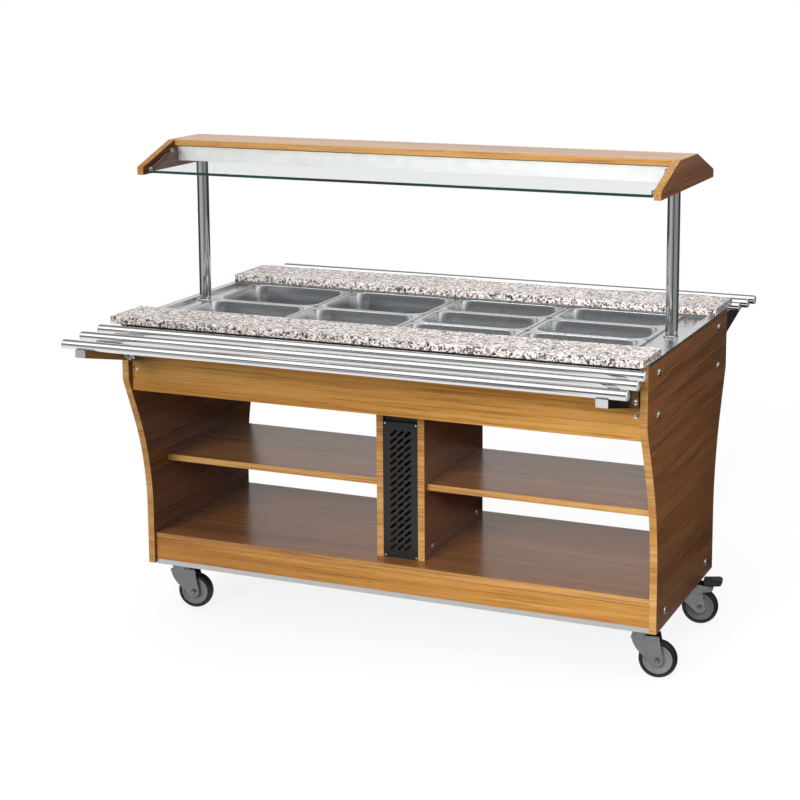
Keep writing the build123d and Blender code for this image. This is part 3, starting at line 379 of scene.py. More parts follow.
# x and y say which way a board's grain runs
finishes = {
    "frontX": makeLaminate("oakFrontX", "x", boardTones["front"], (0.0, 0.3, 0.7), 0.8),
    # the shelf, cheek and upright face finishes use the darker oak copies: painted shade
    "shadedShelfX": makeLaminate(
        "oakShadedShelfX", "x", boardTones["shadedShelf"], (0.6, 0.1, 0.3), 0.9, rough=0.22, sheen=0.55
    ),
    "shadedCheekY": makeLaminate(
        "oakShadedCheekY", "y", boardTones["face"], (0.2, 0.5, 0.4), 0.9, rough=0.30, sheen=0.12
    ),
    "edgeX": makeLaminate("oakEdgeX", "x", boardTones["edge"], (0.4, 0.9, 0.1), 0.8),
    "edgeY": makeLaminate("oakEdgeY", "y", boardTones["edge"], (0.2, 0.5, 0.6), 0.8),
    "shadedFaceY": makeLaminate("oakShadedFaceY", "y", boardTones["face"], (0.7, 0.2, 0.4), rough=0.30),
    "stone": makeStone("speckledStone"),
    "deck": makeMetal("satinSheetX", tone(222, 223, 224), 0.24, (5.0, 520.0, 520.0), 0.000008),
    "pan": makeMetal(
        "pressedPanSteel", tone(218, 220, 222), 0.23, (120.0, 120.0, 30.0), 0, streaks=0.25, spread=0.04
    ),
    "tube": makeMetal("polishedTube", tone(238, 238, 238), 0.06, (3.0, 260.0, 260.0), 0, spread=0.04),
    "post": makeMetal("polishedPost", tone(222, 223, 225), 0.05, (260.0, 260.0, 3.0), 0, spread=0.04),
    "cap": makePlastic("tubeCap", tone(176, 179, 183), 0.30, 1200.0, 0.00002),
    "arm": makeMetal("polishedArm", tone(190, 190, 191), 0.17, (240.0, 6.0, 240.0), 0.000004),
    # a darker copy of the arm steel: painted shade on the arms' outer sides
    "shadedArmSide": makeMetal("armSidePaintedShade", tone(100, 97, 96), 0.20, (240.0, 6.0, 240.0), 0.000004),
    "bolt": makeMetal("brightBolt", tone(226, 227, 228), 0.10, (90.0, 90.0, 90.0), 0, spread=0.06),
    "anodised": makeMetal("satinAnodised", tone(208, 205, 202), 0.34, (4.0, 420.0, 420.0), 0.000004),
    "lightBox": makePlastic("whiteLightBox", tone(208, 208, 208), 0.30, 900.0, 0.00002),
    "sheet": makePowderCoat("anthraciteCoat", tone(29, 30, 31), 0.50),
    # a dark coat for the sheets under the stone, which paint shade
    "dark": makePowderCoat("paintedShadeCoat", tone(30, 29, 29), 0.6),
    "glass": makeGlass("clearGlass"),
    "glassEdge": makeGlassEdge("glassEdge"),
    "opal": makeOpal("opalDiffuser", tone(246, 244, 238), 0.7),
    "lamp": makeOpal("frostedLamp", tone(252, 250, 244), 1.0),
    "zinc": makeMetal(
        "zincSteel", tone(126, 127, 129), 0.22, (26.0, 26.0, 26.0), 0.004, patch=0.4, streaks=1.0
    ),
    "frameSteel": makeMetal("frameSteel", tone(150, 152, 154), 0.42, (60.0, 200.0, 200.0), patch=0.6),
    "hub": makePlastic("greyHub", tone(122, 124, 126), 0.42, 1300.0, 0.00004),
    "rubber": makeRubber("blackTyre"),
    "plastic": makePlastic("blackPlastic", tone(30, 30, 31), 0.40, 1700.0, 0.00006),
    "mark": makePlastic("paleMark", tone(222, 222, 218), 0.5, 1200.0, 0.00001),
    "lens": makeOpal("amberLens", tone(238, 140, 40), 0.25),
    "rocker": makePlastic("redRocker", tone(150, 26, 22), 0.34, 1500.0, 0.00003),
    "sheath": makeMetal("heaterSheath", tone(112, 106, 102), 0.44, (90.0, 240.0, 240.0), 0.00002, patch=0.7),
    "brass": makeMetal("valveBrass", tone(196, 164, 96), 0.26, (180.0, 180.0, 60.0), patch=0.4),
    "lever": makePlastic("leverCoat", tone(44, 58, 110), 0.36, 900.0, 0.00003),
}
print("finishes made,", len(finishes))


# modelling tools
def workFrom(node):
    # a copy of a frame node's mesh with its loose triangles joined into plain faces;
    # not for pierced plates, whose openings would be lost
    shape = bmesh.new()
    shape.from_mesh(cadNodes[node].data)
    bmesh.ops.remove_doubles(shape, verts=shape.verts, dist=0.00002)
    bmesh.ops.dissolve_limit(shape, angle_limit=0.01, verts=shape.verts, edges=shape.edges)
    return shape


def addPiece(name, shape, materials, node, replaced=(), bevel=0.0, segments=2, sharp=32):
    # bevel eases edges sharper than sharp, in degrees
    mesh = bpy.data.meshes.new(name)
    shape.to_mesh(mesh)
    shape.free()
    piece = bpy.data.objects.new(name, mesh)
    scene.collection.objects.link(piece)
    for material in materials:
        mesh.materials.append(finishes[material])
    mesh.shade_smooth()
    if bevel:
        softened = piece.modifiers.new("eased edges", "BEVEL")
        softened.width = bevel
        softened.segments = segments
        softened.limit_method = "ANGLE"
        softened.angle_limit = math.radians(sharp)
        softened.miter_outer = "MITER_ARC"
        softened.use_clamp_overlap = True
        weighted = piece.modifiers.new("flat faces", "WEIGHTED_NORMAL")
        weighted.weight = 80
    else:
        mesh.set_sharp_from_angle(angle=math.radians(sharp))
    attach(piece, bodyOf[node])
    if replaced:
        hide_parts(*replaced)
    return piece


def turned(shape, profile, centre, axis, steps):
    # (along, radius) pairs turned about an axis through centre
    axis = Vector(axis).normalized()
    side = axis.orthogonal().normalized()
    centre = Vector(centre)
    verts = [shape.verts.new(centre + axis * along + side * radius) for along, radius in profile]
    edges = [shape.edges.new(pair) for pair in zip(verts, verts[1:])]
    before = len(shape.verts)
    bmesh.ops.spin(
        shape,
        geom=verts + edges,
        cent=centre,
        axis=axis,
        angle=2 * math.pi,
        steps=steps,
        use_merge=True,
        use_duplicate=False,
    )
    shape.verts.ensure_lookup_table()
    fresh = verts + list(shape.verts)[before:]
    fresh = [vert for vert in dict.fromkeys(fresh) if vert.is_valid]
    bmesh.ops.remove_doubles(shape, verts=fresh, dist=0.0000005)
    faces = {face for vert in fresh if vert.is_valid for face in vert.link_faces}
    bmesh.ops.recalc_face_normals(shape, faces=list(faces))
    return faces


def roundedRing(shape, centre, size, corner, level, steps):
    # a level rectangle with round corners: its face, and its edges ready to be bridged
    known = set(shape.faces)
    made = bmesh.ops.create_grid(shape, x_segments=1, y_segments=1, size=0.5)
    verts = made["verts"]
    bmesh.ops.scale(shape, vec=(size[0], size[1], 1), verts=verts)
    bmesh.ops.translate(shape, vec=(centre[0], centre[1], level), verts=verts)
    bmesh.ops.bevel(
        shape,
        geom=verts,
        offset=corner,
        offset_type="OFFSET",
        segments=steps,
        profile=0.5,
        affect="VERTICES",
        clamp_overlap=False,
        material=-1,
    )
    face = next(face for face in shape.faces if face not in known)
    return face, list(face.edges)


def boxShape(shape, low, high):
    verts = bmesh.ops.create_cube(shape, size=1)["verts"]
    size = [top - bottom for bottom, top in zip(low, high)]
    middle = [(top + bottom) / 2 for bottom, top in zip(low, high)]
    bmesh.ops.scale(shape, vec=size, verts=verts)
    bmesh.ops.translate(shape, vec=middle, verts=verts)
    return verts


def barShape(shape, half):
    # a box about the origin, from its half sizes
    return boxShape(shape, [-size for size in half], half)


def shiftTurned(shape, verts, angle, axis, shift):
    # turns about an axis through the origin, then shifts
    bmesh.ops.rotate(shape, cent=(0, 0, 0), matrix=Matrix.Rotation(angle, 3, axis), verts=verts)
    bmesh.ops.translate(shape, vec=shift, verts=verts)


# wooden boards: broad faces and edge bands have their own grain; thin is the axis of a board's thickness
facing = 0.7  # a face looks along an axis when its normal has this much of it
boards = {
    # side panels, hood cheeks and column boards take the darker face copy, the shelves and base the darker
    # shelf copy: painted shade
    "left_side_panel": {"thin": 0, "face": "shadedFaceY", "band": "edgeX"},
    "right_side_panel": {"thin": 0, "face": "shadedFaceY", "band": "edgeX"},
    "hood_cheeks": {"thin": 0, "face": "shadedCheekY", "band": "edgeY"},
    "column_boards": {"thin": 0, "face": "shadedFaceY", "band": "edgeX"},
    "apron_boards": {"thin": 1, "face": "frontX", "band": "edgeX"},
    "plinth_boards": {"thin": 1, "face": "frontX", "band": "edgeX"},
    "base_board": {"thin": 2, "face": "shadedShelfX", "band": "edgeX"},
    "left_shelf": {"thin": 2, "face": "shadedShelfX", "band": "edgeX"},
    "right_shelf": {"thin": 2, "face": "shadedShelfX", "band": "edgeX"},
    "hood_board": {"thin": 2, "face": "frontX", "band": "edgeX"},
}

for node, look in boards.items():
    shape = workFrom(node)
    for face in shape.faces:
        face.material_index = 0 if abs(face.normal[look["thin"]]) > facing else 1
    addPiece(node + "Wood", shape, (look["face"], look["band"]), node, (node,), 0.0007, 2)
print("boards dressed,", len(boards))

# stone worktops with rounded long edges
stoneTops = {
    "nodes": ("front_worktop", "rear_worktop"),
    "round": 0.003,
    "roundSteps": 5,
    "endRound": 0.0012,
    "endSteps": 3,
    "endSharp": 50,  # the rounded long edges stay as they are
}

for node in stoneTops["nodes"]:
    low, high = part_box(node)
    shape = bmesh.new()
    boxShape(shape, low, high)
    longEdges = [edge for edge in shape.edges if edge.calc_length() > (high.x - low.x) * 0.9]
    bmesh.ops.bevel(
        shape,
        geom=longEdges,
        offset=stoneTops["round"],
        offset_type="OFFSET",
        segments=stoneTops["roundSteps"],
        profile=0.5,
        affect="EDGES",
        clamp_overlap=True,
        material=-1,
    )
    ends = (stoneTops["endRound"], stoneTops["endSteps"], stoneTops["endSharp"])
    addPiece(node + "Stone", shape, ("stone",), node, (node,), *ends)
print("worktops cut")

# pieces that keep the frame's own form, with eased edges: finish, ease, steps of the ease
sheets = {
    "plinth_trims": ("anodised", 0.0004, 2),
    "column_cover": ("sheet", 0.0004, 2),
    "well_casing": ("deck", 0.0004, 1),
    "bain_marie_tank": ("pan", 0.0004, 1),
    "glass_clamps": ("bolt", 0.0014, 3),
    "lamp_diffuser": ("opal", 0.0004, 1),
    "drain_valve": ("brass", 0.0006, 2),
    "drain_lever": ("lever", 0.0008, 2),
}
for corner in ("front_left", "front_right", "rear_left", "rear_right"):
    sheets[corner + "_fork"] = ("zinc", 0.0007, 2)

for node, (look, ease, steps) in sheets.items():
    addPiece(node + "Form", workFrom(node), (look,), node, (node,), ease, steps)
print("sheet and cast pieces dressed,", len(sheets))

# tray arms: polished bars; the end faces take the pale cap finish as a painted highlight, the outer sides a
# darker copy of the steel as painted shade
trayArms = {"tipFrom": 0.62, "ease": 0.0012, "easeSteps": 3}

for side in ("front", "rear"):
    node = side + "_tray_arms"
    shape = workFrom(node)
    for face in shape.faces:
        middle = face.calc_center_median()
        litTip = abs(middle.y) > trayArms["tipFrom"] and abs(face.normal.y) > facing
        shadedSide = abs(face.normal.x) > facing and face.normal.x * middle.x > 0
        face.material_index = 1 if litTip else 2 if shadedSide else 0
    looks = ("arm", "cap", "shadedArmSide")
    addPiece(side + "ArmBars", shape, looks, node, (node,), trayArms["ease"], trayArms["easeSteps"])

# dark sheets on the apron faces behind the tray slides, under the stone: painted shade where the stone
# overhang shades the apron
stoneShadeSheets = {"reach": 0.7135, "bottom": 0.776, "top": 0.8565, "thick": 0.0008, "ease": 0.0002}

shadeSheetShape = bmesh.new()
apronLow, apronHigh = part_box("apron_boards")
for side, face in ((-1, apronLow.y), (1, apronHigh.y)):
    near, far = sorted((face, face + side * stoneShadeSheets["thick"]))
    low = (-stoneShadeSheets["reach"], near, stoneShadeSheets["bottom"])
    boxShape(shadeSheetShape, low, (stoneShadeSheets["reach"], far, stoneShadeSheets["top"]))
addPiece("stoneShadeSheets", shadeSheetShape, ("dark",), "apron_boards", (), stoneShadeSheets["ease"], 1)
print("tray arms and rails made")

# nodes that keep their own mesh and only get a finish
plainNodes = {
    "well_deck": "deck",
    "pan_grid": "deck",
    "vent_grille": "sheet",
    "control_panel": "sheet",
    "light_box": "lightBox",
    "under_frame": "frameSteel",
    "heating_element": "sheath",
    "lamp_tube": "lamp",
    "front_tray_mounts": "arm",
    "rear_tray_mounts": "arm",
    "caster_mounts": "zinc",
}
for node, look in plainNodes.items():
    mesh = cadNodes[node].data
    mesh.materials.clear()
    mesh.materials.append(finishes[look])
print("plain nodes finished,", len(plainNodes))

# food pans, each pressed from one sheet
panForm = {
    "flange": 0.011,
    "corner": 0.042,
    "cornerSteps": 8,
    "draft": math.radians(3),
    "depth": 0.100,
    "foot": 0.014,
    "footSteps": 6,
    "rimCorner": 0.013,
    "rimDrop": 0.0049,
    "rimRoll": [(0.0, 0.0014), (0.0004, 0.0004), (0.0014, 0.0)],  # inset from the rim, drop
    "lipRoll": [(0.0022, 0.0003), (0.0007, 0.0007), (0.0, 0.0022)],  # short of the flange's end, drop
    "floorSheet": 0.001,
    "sheet": 0.0009,
    "sharp": 60,
}


def panRows(form):
    # rings from the rim down to the floor: inset from the rim, corner, depth below the rim
    rows = [(0.0, form["rimCorner"], form["rimDrop"])]
    rows += [(inset, form["rimCorner"] - inset, drop) for inset, drop in form["rimRoll"]]
    # the flange slopes a little, because level rings would bridge askew
    rows += [(form["flange"] - short, form["corner"] + short, drop) for short, drop in form["lipRoll"]]
    wallStart = rows[-1][2]
    wallEnd = form["depth"] - form["foot"] - form["floorSheet"]
    for share in (0.5, 1.0):
        level = wallStart + (wallEnd - wallStart) * share
        lean = (level - wallStart) * math.tan(form["draft"])
        rows.append((form["flange"] + lean, form["corner"] - lean, level))
    inset, corner, level = rows[-1]
    for step in range(1, form["footSteps"] + 1):
        angle = step / form["footSteps"] * math.pi / 2
        inward = form["foot"] * (1 - math.cos(angle))
        rows.append((inset + inward, corner - inward, level + form["foot"] * math.sin(angle)))
    return rows


def makePan(node, form):
    low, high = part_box(node)
    centre = (low + high) / 2
    shape = bmesh.new()
    rings = []
    for inset, corner, drop in panRows(form):
        size = (high.x - low.x - 2 * inset, high.y - low.y - 2 * inset)
        rings.append(roundedRing(shape, centre, size, corner, high.z - drop, form["cornerSteps"]))
    bmesh.ops.delete(shape, geom=[face for face, _ in rings[:-1]], context="FACES_ONLY")
    for (_, outer), (_, inner) in zip(rings, rings[1:]):
        bmesh.ops.bridge_loops(shape, edges=outer + inner)
    bmesh.ops.recalc_face_normals(shape, faces=shape.faces)
    floor = max(shape.faces, key=lambda face: face.calc_area())
    if floor.normal.z < 0:
        bmesh.ops.reverse_faces(shape, faces=shape.faces)
    pan = addPiece(node + "Pressed", shape, ("pan",), node, (node,), sharp=form["sharp"])
    wall = pan.modifiers.new("sheet", "SOLIDIFY")
    wall.thickness = form["sheet"]
    wall.offset = -1


for number in range(1, 11):
    makePan(f"food_pan_{number}", panForm)
print("food pans pressed")

# tray slide tubes: polished tube with a pressed-in end cap
trayTubes = {
    "radius": 0.0125,
    "edge": [(-0.0005, 0.0), (0.0, 0.0003)],  # past the tube's end, short of its radius
    "cap": [(-0.001, 0.0006), (0.0006, 0.0003), (0.0018, 0.0005), (0.0027, 0.0014), (0.003, 0.0026)],
    "steps": 56,
    "y": (0.467, 0.54395, 0.629),  # from the cart's middle, inner tube first
    "z": (0.847, 0.8425, 0.838),
    "half": (0.749, 0.755, 0.755),
}


def makeTrayTubes(side, node, look):
    shape = bmesh.new()
    caps = set()
    radius = look["radius"]
    for y, z, half in zip(look["y"], look["z"], look["half"]):
        edge = [(half + past, radius - short) for past, short in look["edge"]]
        body = [(-along, reach) for along, reach in edge[::-1]] + edge
        turned(shape, body, (0, side * y, z), (1, 0, 0), look["steps"])
        cap = [(half + past, radius - short) for past, short in look["cap"]]
        cap.append((cap[-1][0], 0.0))
        for way in (-1, 1):
            profile = [(along * way, reach) for along, reach in cap]
            caps |= turned(shape, profile, (0, side * y, z), (1, 0, 0), look["steps"])
    for face in caps:
        if face.is_valid:
            face.material_index = 1
    addPiece(node + "Polished", shape, ("tube", "cap"), node, (node,))


makeTrayTubes(-1, "front_tray_tubes", trayTubes)
makeTrayTubes(1, "rear_tray_tubes", trayTubes)
print("tray tubes turned")

# hood posts on round foot flanges
postForm = {
    "x": 0.687,
    "y": -0.010,
    "radius": 0.0165,
    "flange": 0.022,
    "flangeHeight": 0.004,
    "flangeEdge": [(0.0, 0.0002), (0.5, 0.0), (0.85, 0.0006), (1.0, 0.0016)],  # share of height, cut
    "weld": (0.0012, 0.0009),  # out from the post, up from the flange
    "steps": 64,
}


def makePosts(node, form):
    low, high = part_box(node)
    radius, rise = form["radius"], form["flangeHeight"]
    weldOut, weldUp = form["weld"]
    profile = [(rise * share, form["flange"] - cut) for share, cut in form["flangeEdge"]]
    profile += [(rise, radius + weldOut), (rise + weldUp, radius), (high.z - low.z, radius)]
    shape = bmesh.new()
    for side in (-1, 1):
        turned(shape, profile, (side * form["x"], form["y"], low.z), (0, 0, 1), form["steps"])
    addPiece(node + "Polished", shape, ("post",), node, (node,))


makePosts("hood_posts", postForm)
print("posts turned")

# domed bolts and small screws; an outline is (share of height, share of radius)
domeOutline = [(0.0, 1.0), (0.16, 0.99), (0.42, 0.90), (0.66, 0.74), (0.84, 0.54), (0.95, 0.32), (1.0, 0.0)]
collarOutline = [(0.0, 0.99), (0.7, 1.0), (1.0, 0.97), (1.0, 0.0)]
boltSpots = {
    "panel": {
        "x": 0.7345, "radius": 0.010, "height": 0.005,
        "collar": 0.0009, "domeFoot": 0.0008, "domeShare": 0.88,
        "at": [
            (-0.295, 0.820), (-0.295, 0.713), (0.295, 0.820), (0.295, 0.713), (-0.203, 0.182), (0.203, 0.182),
        ],
    },
    "columnLeft": {"x": -0.060, "radius": 0.008, "height": 0.0035, "at": [(-0.158, 0.255), (0.162, 0.255)]},
    "columnRight": {"x": 0.0785, "radius": 0.008, "height": 0.0035, "at": [(-0.158, 0.255), (0.162, 0.255)]},
    "apron": {"x": 0.7015, "y": 0.371, "z": 0.724, "radius": 0.007, "height": 0.004},
    "grille": {"y": -0.213, "x": (-0.0355, 0.054), "z": (0.2335, 0.5985), "radius": 0.003, "height": 0.002},
}


def addHead(shape, outline, centre, way, radius, height, steps=24):
    profile = [(share * height, reach * radius) for share, reach in outline]
    turned(shape, profile, centre, way, steps)


boltShape = bmesh.new()
spot = boltSpots["panel"]
for side in (-1, 1):
    for y, z in spot["at"]:
        way = (side, 0, 0)
        addHead(boltShape, collarOutline, (side * spot["x"], y, z), way, spot["radius"], spot["collar"])
        foot = (side * (spot["x"] + spot["domeFoot"]), y, z)  # sunk a hair into the collar
        radius, height = spot["radius"] * spot["domeShare"], spot["height"] - spot["collar"]
        addHead(boltShape, domeOutline, foot, way, radius, height)
for name, side in (("columnLeft", -1), ("columnRight", 1)):
    spot = boltSpots[name]
    for y, z in spot["at"]:
        addHead(boltShape, domeOutline, (spot["x"], y, z), (side, 0, 0), spot["radius"], spot["height"])
spot = boltSpots["apron"]
for sideX in (-1, 1):
    for sideY in (-1, 1):
        centre = (sideX * spot["x"], sideY * spot["y"], spot["z"])
        addHead(boltShape, domeOutline, centre, (0, sideY, 0), spot["radius"], spot["height"])
spot = boltSpots["grille"]
for x in spot["x"]:
    for z in spot["z"]:
        addHead(boltShape, domeOutline, (x, spot["y"], z), (0, -1, 0), spot["radius"], spot["height"])
addPiece("boardBolts", boltShape, ("bolt",), "fasteners", ("fasteners",))
print("bolts and screws turned")

# hood glass: clear panes with dark green edges
hoodGlass = {"leastPane": 0.05, "ease": 0.0006}  # faces under this many square metres are edges

paneShape = workFrom("hood_glass")
for face in paneShape.faces:
    face.material_index = 0 if face.calc_area() > hoodGlass["leastPane"] else 1
layers = ("glass", "glassEdge")
panes = addPiece("hoodGlass", paneShape, layers, "hood_glass", ("hood_glass",), hoodGlass["ease"], 2)
panes.visible_shadow = False  # light goes through clear panes
print("glass set")

# caster wheels: a grey moulded core and a black tyre
wheelForm = {
    "radius": 0.050,
    "halfWidth": 0.015,
    "core": 0.038,
    "steps": 56,
    "trail": 0.043,
    "yaw": math.radians(9),
    "x": 0.675,
    "y": {-1: 0.204, 1: 0.216},  # front and rear
    # the core from its hub out: past the half width, radius
    "coreProfile": [
        (0.0036, 0.0052), (0.0036, 0.0112), (0.0029, 0.0124), (-0.0044, 0.0152), (-0.0050, 0.0164),
        (-0.0050, 0.0222), (-0.0056, 0.0228), (-0.0056, 0.0250), (-0.0050, 0.0256), (-0.0050, 0.0305),
        (-0.0044, 0.0318), (-0.0026, 0.0330),
    ],
    "coreInset": 0.0022,
    "tyreFoot": [(0.0018, 0.0001), (0.0006, 0.0012), (0.0, 0.0034)],  # inset, above the core
    "tyreTread": [(0.0002, 0.0075), (0.0016, 0.0040), (0.0045, 0.0017), (0.0090, 0.0005)],  # inset, below
}


def wheelPlace(form, sideX, sideY):
    yaw = form["yaw"]
    centre = Vector((sideX * form["x"], sideY * form["y"][sideY], form["radius"]))
    centre += Vector((math.cos(yaw), math.sin(yaw), 0)) * form["trail"]
    axle = Vector((-math.sin(yaw), math.cos(yaw), 0))
    return centre, axle


def makeWheel(node, form, sideX, sideY):
    centre, axle = wheelPlace(form, sideX, sideY)
    half, rim, reach = form["halfWidth"], form["core"], form["radius"]
    shape = bmesh.new()
    coreHalf = [(half + past, radius) for past, radius in form["coreProfile"]]
    coreHalf.append((half - form["coreInset"], rim))
    core = [(-along, radius) for along, radius in coreHalf] + coreHalf[::-1]
    turned(shape, core, centre, axle, form["steps"])
    tyreHalf = [(half - inset, rim + above) for inset, above in form["tyreFoot"]]
    tyreHalf += [(half - inset, reach - below) for inset, below in form["tyreTread"]]
    tyre = [(-along, radius) for along, radius in tyreHalf] + [(0, reach)] + tyreHalf[::-1]
    for face in turned(shape, tyre, centre, axle, form["steps"]):
        face.material_index = 1
    addPiece(node + "Turned", shape, ("hub", "rubber"), node, (node,))


for name, sideX, sideY in (
    ("front_left", -1, -1),
    ("front_right", 1, -1),
    ("rear_left", -1, 1),
    ("rear_right", 1, 1),
):
    makeWheel(name + "_wheel", wheelForm, sideX, sideY)
print("wheels turned")

# brake pedals: the frame's form with ribs pressed across the tread
pedalForm = {
    "trail": 0.071,
    "pin": 0.105,
    "first": (-0.016, 0.0224),  # first and last rib, from the pin: outwards, up
    "last": (0.024, 0.0259),
    "ribs": 9,
    "rib": (0.0009, 0.017, 0.0008),  # half sizes
    "ease": 0.0006,
}


def makePedal(node, form, sideX):
    shape = workFrom(node)
    foot = (sideX * wheelForm["x"], wheelForm["y"][1], 0)
    first, last = Vector(form["first"]), Vector(form["last"])
    rise = math.atan2(last.y - first.y, last.x - first.x)
    for step in range(form["ribs"]):
        spot = first.lerp(last, step / (form["ribs"] - 1))
        rib = barShape(shape, form["rib"])
        shiftTurned(shape, rib, -rise, "Y", (form["trail"] + spot.x, 0, form["pin"] + spot.y))
        shiftTurned(shape, rib, wheelForm["yaw"], "Z", foot)
    addPiece(node + "Ribbed", shape, ("plastic",), node, (node,), form["ease"], 2)


makePedal("rear_left_brake", pedalForm, -1)
makePedal("rear_right_brake", pedalForm, 1)
print("pedals ribbed")

# controls on the rear of the column
controls = {
    "x": 0.00925,
    "face": 0.208,
    "knobZ": 0.560,
    "dial": 0.030,
    "ticks": 11,
    "sweep": 270,
    "tick": (0.0006, 0.0002, 0.0028),  # half sizes
    "pointer": {"half": 0.0009, "thick": 0.0002, "from": 0.006, "to": 0.0185},
    "lens": {"z": 0.430, "lift": 0.001, "radius": 0.0052, "height": 0.0040, "steps": 32},
}
movingControls = {
    "thermostatKnob": {"node": "thermostat_knob", "look": "plastic", "ease": 0.0008},
    "mainsRocker": {"node": "mains_switch", "look": "rocker", "ease": 0.0006},
}


def makeDialMarks(look):
    shape = bmesh.new()
    for step in range(look["ticks"]):
        angle = math.radians(look["sweep"] / 2 - look["sweep"] / (look["ticks"] - 1) * step)
        x = look["x"] - math.sin(angle) * look["dial"]
        z = look["knobZ"] + math.cos(angle) * look["dial"]
        tick = barShape(shape, look["tick"])
        shiftTurned(shape, tick, -angle, "Y", (x, look["face"] + look["tick"][1], z))
    addPiece("dialMarks", shape, ("mark",), "control_panel")


def makePointer(look):
    shape = bmesh.new()
    pointer = look["pointer"]
    low = (-pointer["half"], -pointer["thick"], pointer["from"])
    bar = boxShape(shape, low, (pointer["half"], pointer["thick"], pointer["to"]))
    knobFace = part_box("thermostat_knob")[1].y
    middle = (look["x"], knobFace + pointer["thick"] / 2, look["knobZ"])
    bmesh.ops.translate(shape, vec=middle, verts=bar)
    addPiece("knobPointer", shape, ("mark",), "thermostat_knob")


def makeLens(look):
    shape = bmesh.new()
    lens = look["lens"]
    centre = (look["x"], look["face"] + lens["lift"], lens["z"])
    addHead(shape, domeOutline, centre, (0, 1, 0), lens["radius"], lens["height"], lens["steps"])
    addPiece("signalLens", shape, ("lens",), "control_panel")


for name, look in movingControls.items():
    node = look["node"]
    addPiece(name, workFrom(node), (look["look"],), node, (node,), look["ease"], 3)
makeDialMarks(controls)
makePointer(controls)
makeLens(controls)
print("controls finished")

# floor, world, lamps, and what the polished metal mirrors: dark cards and a low wall round the cart
studio = {
    "floorSize": 60.0,
    "floorTone": (0.16, 0.16, 0.16, 1),
    "floorGlow": 0.86,
    "ambient": 0.15,
    # brightness of the room in mirrors, from low behind the cart over the top to low in front
    "mirrorBands": [
        (0.0, 1.0), (0.09, 0.95), (0.13, 0.55), (0.20, 0.22), (0.40, 0.22), (0.48, 0.70), (0.56, 1.5),
        (0.78, 1.8), (0.84, 0.90), (0.89, 0.12), (1.0, 0.10),
    ],
}
# the lamps light the cart but don't show in its metal, where only the bands, the wall and the cards do
suns = {
    "key": {"way": (-0.22, -0.90, 0.36), "strength": 1.95, "softness": 0.45},
    "top": {"way": (-0.10, -0.15, 1.0), "strength": 1.5, "softness": 0.7},
    "back": {"way": (-0.60, 0.75, 0.20), "strength": 1.0, "softness": 0.6},
}
softBoxes = {
    "near": {"place": (1.2, -2.4, 1.7), "aim": (0.75, -0.3, 0.6), "size": 0.9, "power": 4.5, "spread": 1.1},
    "side": {"place": (1.6, -0.5, 1.05), "aim": (0.7, 0.0, 0.78), "size": 0.8, "power": 2.9, "spread": 2.4},
}
mirrorWall = {
    "radius": 4.0,
    "height": 1.0,
    "steps": 96,
    # brightness by the way it is seen from the cart: 0 is right, 90 behind, -90 in front, in degrees
    "shades": [
        (-180, 0.06), (-160, 0.06), (-138, 0.56), (-102, 0.60), (-84, 0.30), (-40, 0.34), (2, 0.34),
        (14, 0.06), (60, 0.06), (180, 0.06),
    ],
}
cameraCard = {"azimuth": -55, "away": 2.4, "width": 0.52, "height": 1.3, "shade": 0.01}
floorCardLift = 0.002
floorCards = {
    "rearFloorCard": {"low": (-0.5, 0.65), "high": (2.9, 3.9), "shade": 0.02},
    "sideFloorCard": {"low": (0.80, -0.42), "high": (2.9, 0.65), "shade": 0.02},
    "frontFloorCard": {"low": (-3.6, -3.95), "high": (0.8, -2.2), "shade": 0.15},
    "nearFloorCard": {"low": (-3.6, -2.2), "high": (0.8, -1.45), "shade": 0.55},
}


def addStage(name, shape, material):
    mesh = bpy.data.meshes.new(name)
    shape.to_mesh(mesh)
    shape.free()
    mesh.materials.append(material)
    piece = bpy.data.objects.new(name, mesh)
    scene.collection.objects.link(piece)
    return piece


def addMirrorOnly(name, shape, material):
    # seen in polished metal, but not by the camera or the light
    card = addStage(name, shape, material)
    card.visible_camera = False
    card.visible_diffuse = False
    card.visible_transmission = False
    card.visible_shadow = False


def glowPaint(name):
    # paint that reflects nothing and only glows, in the colour that it is then given
    finish = Finish(name)
    finish.coat({"Base Color": grey(0), "Specular IOR Level": 0.0, "Emission Strength": 1.0})
    return finish


def backgroundRays(nodes):
    # camera, mirror and see-through rays that haven't met a dull surface before
    def ray(output):
        return nodes.node("ShaderNodeLightPath", output=output)

    seen = nodes.math("MAXIMUM", ray("Is Camera Ray"), ray("Is Glossy Ray"))
    seen = nodes.math("MAXIMUM", seen, ray("Is Transmission Ray"))
    return seen * (ray("Diffuse Depth") < 0.5)


def turnShare(nodes, vector, across, along):
    # the angle of a vector in the plane of two of its axes, from -1 to 1 for half a turn each way
    first, second = (nodes.node("ShaderNodeSeparateXYZ", {}, {0: vector}, axis) for axis in (across, along))
    return nodes.math("ARCTAN2", second, first) * (1 / math.pi)


def makeFloor(look):
    shape = bmesh.new()
    bmesh.ops.create_grid(shape, x_segments=1, y_segments=1, size=look["floorSize"] / 2)
    finish = Finish("paleFloor")
    glow = finish.blend(backgroundRays(finish), grey(0), grey(look["floorGlow"]))
    finish.shader.inputs["Emission Strength"].default_value = 1.0
    finish.shader.inputs["Specular IOR Level"].default_value = 0.0
    finish.shader.inputs["Roughness"].default_value = 0.9
    addStage("floor", shape, finish.coat({"Base Color": look["floorTone"], "Emission Color": glow}))


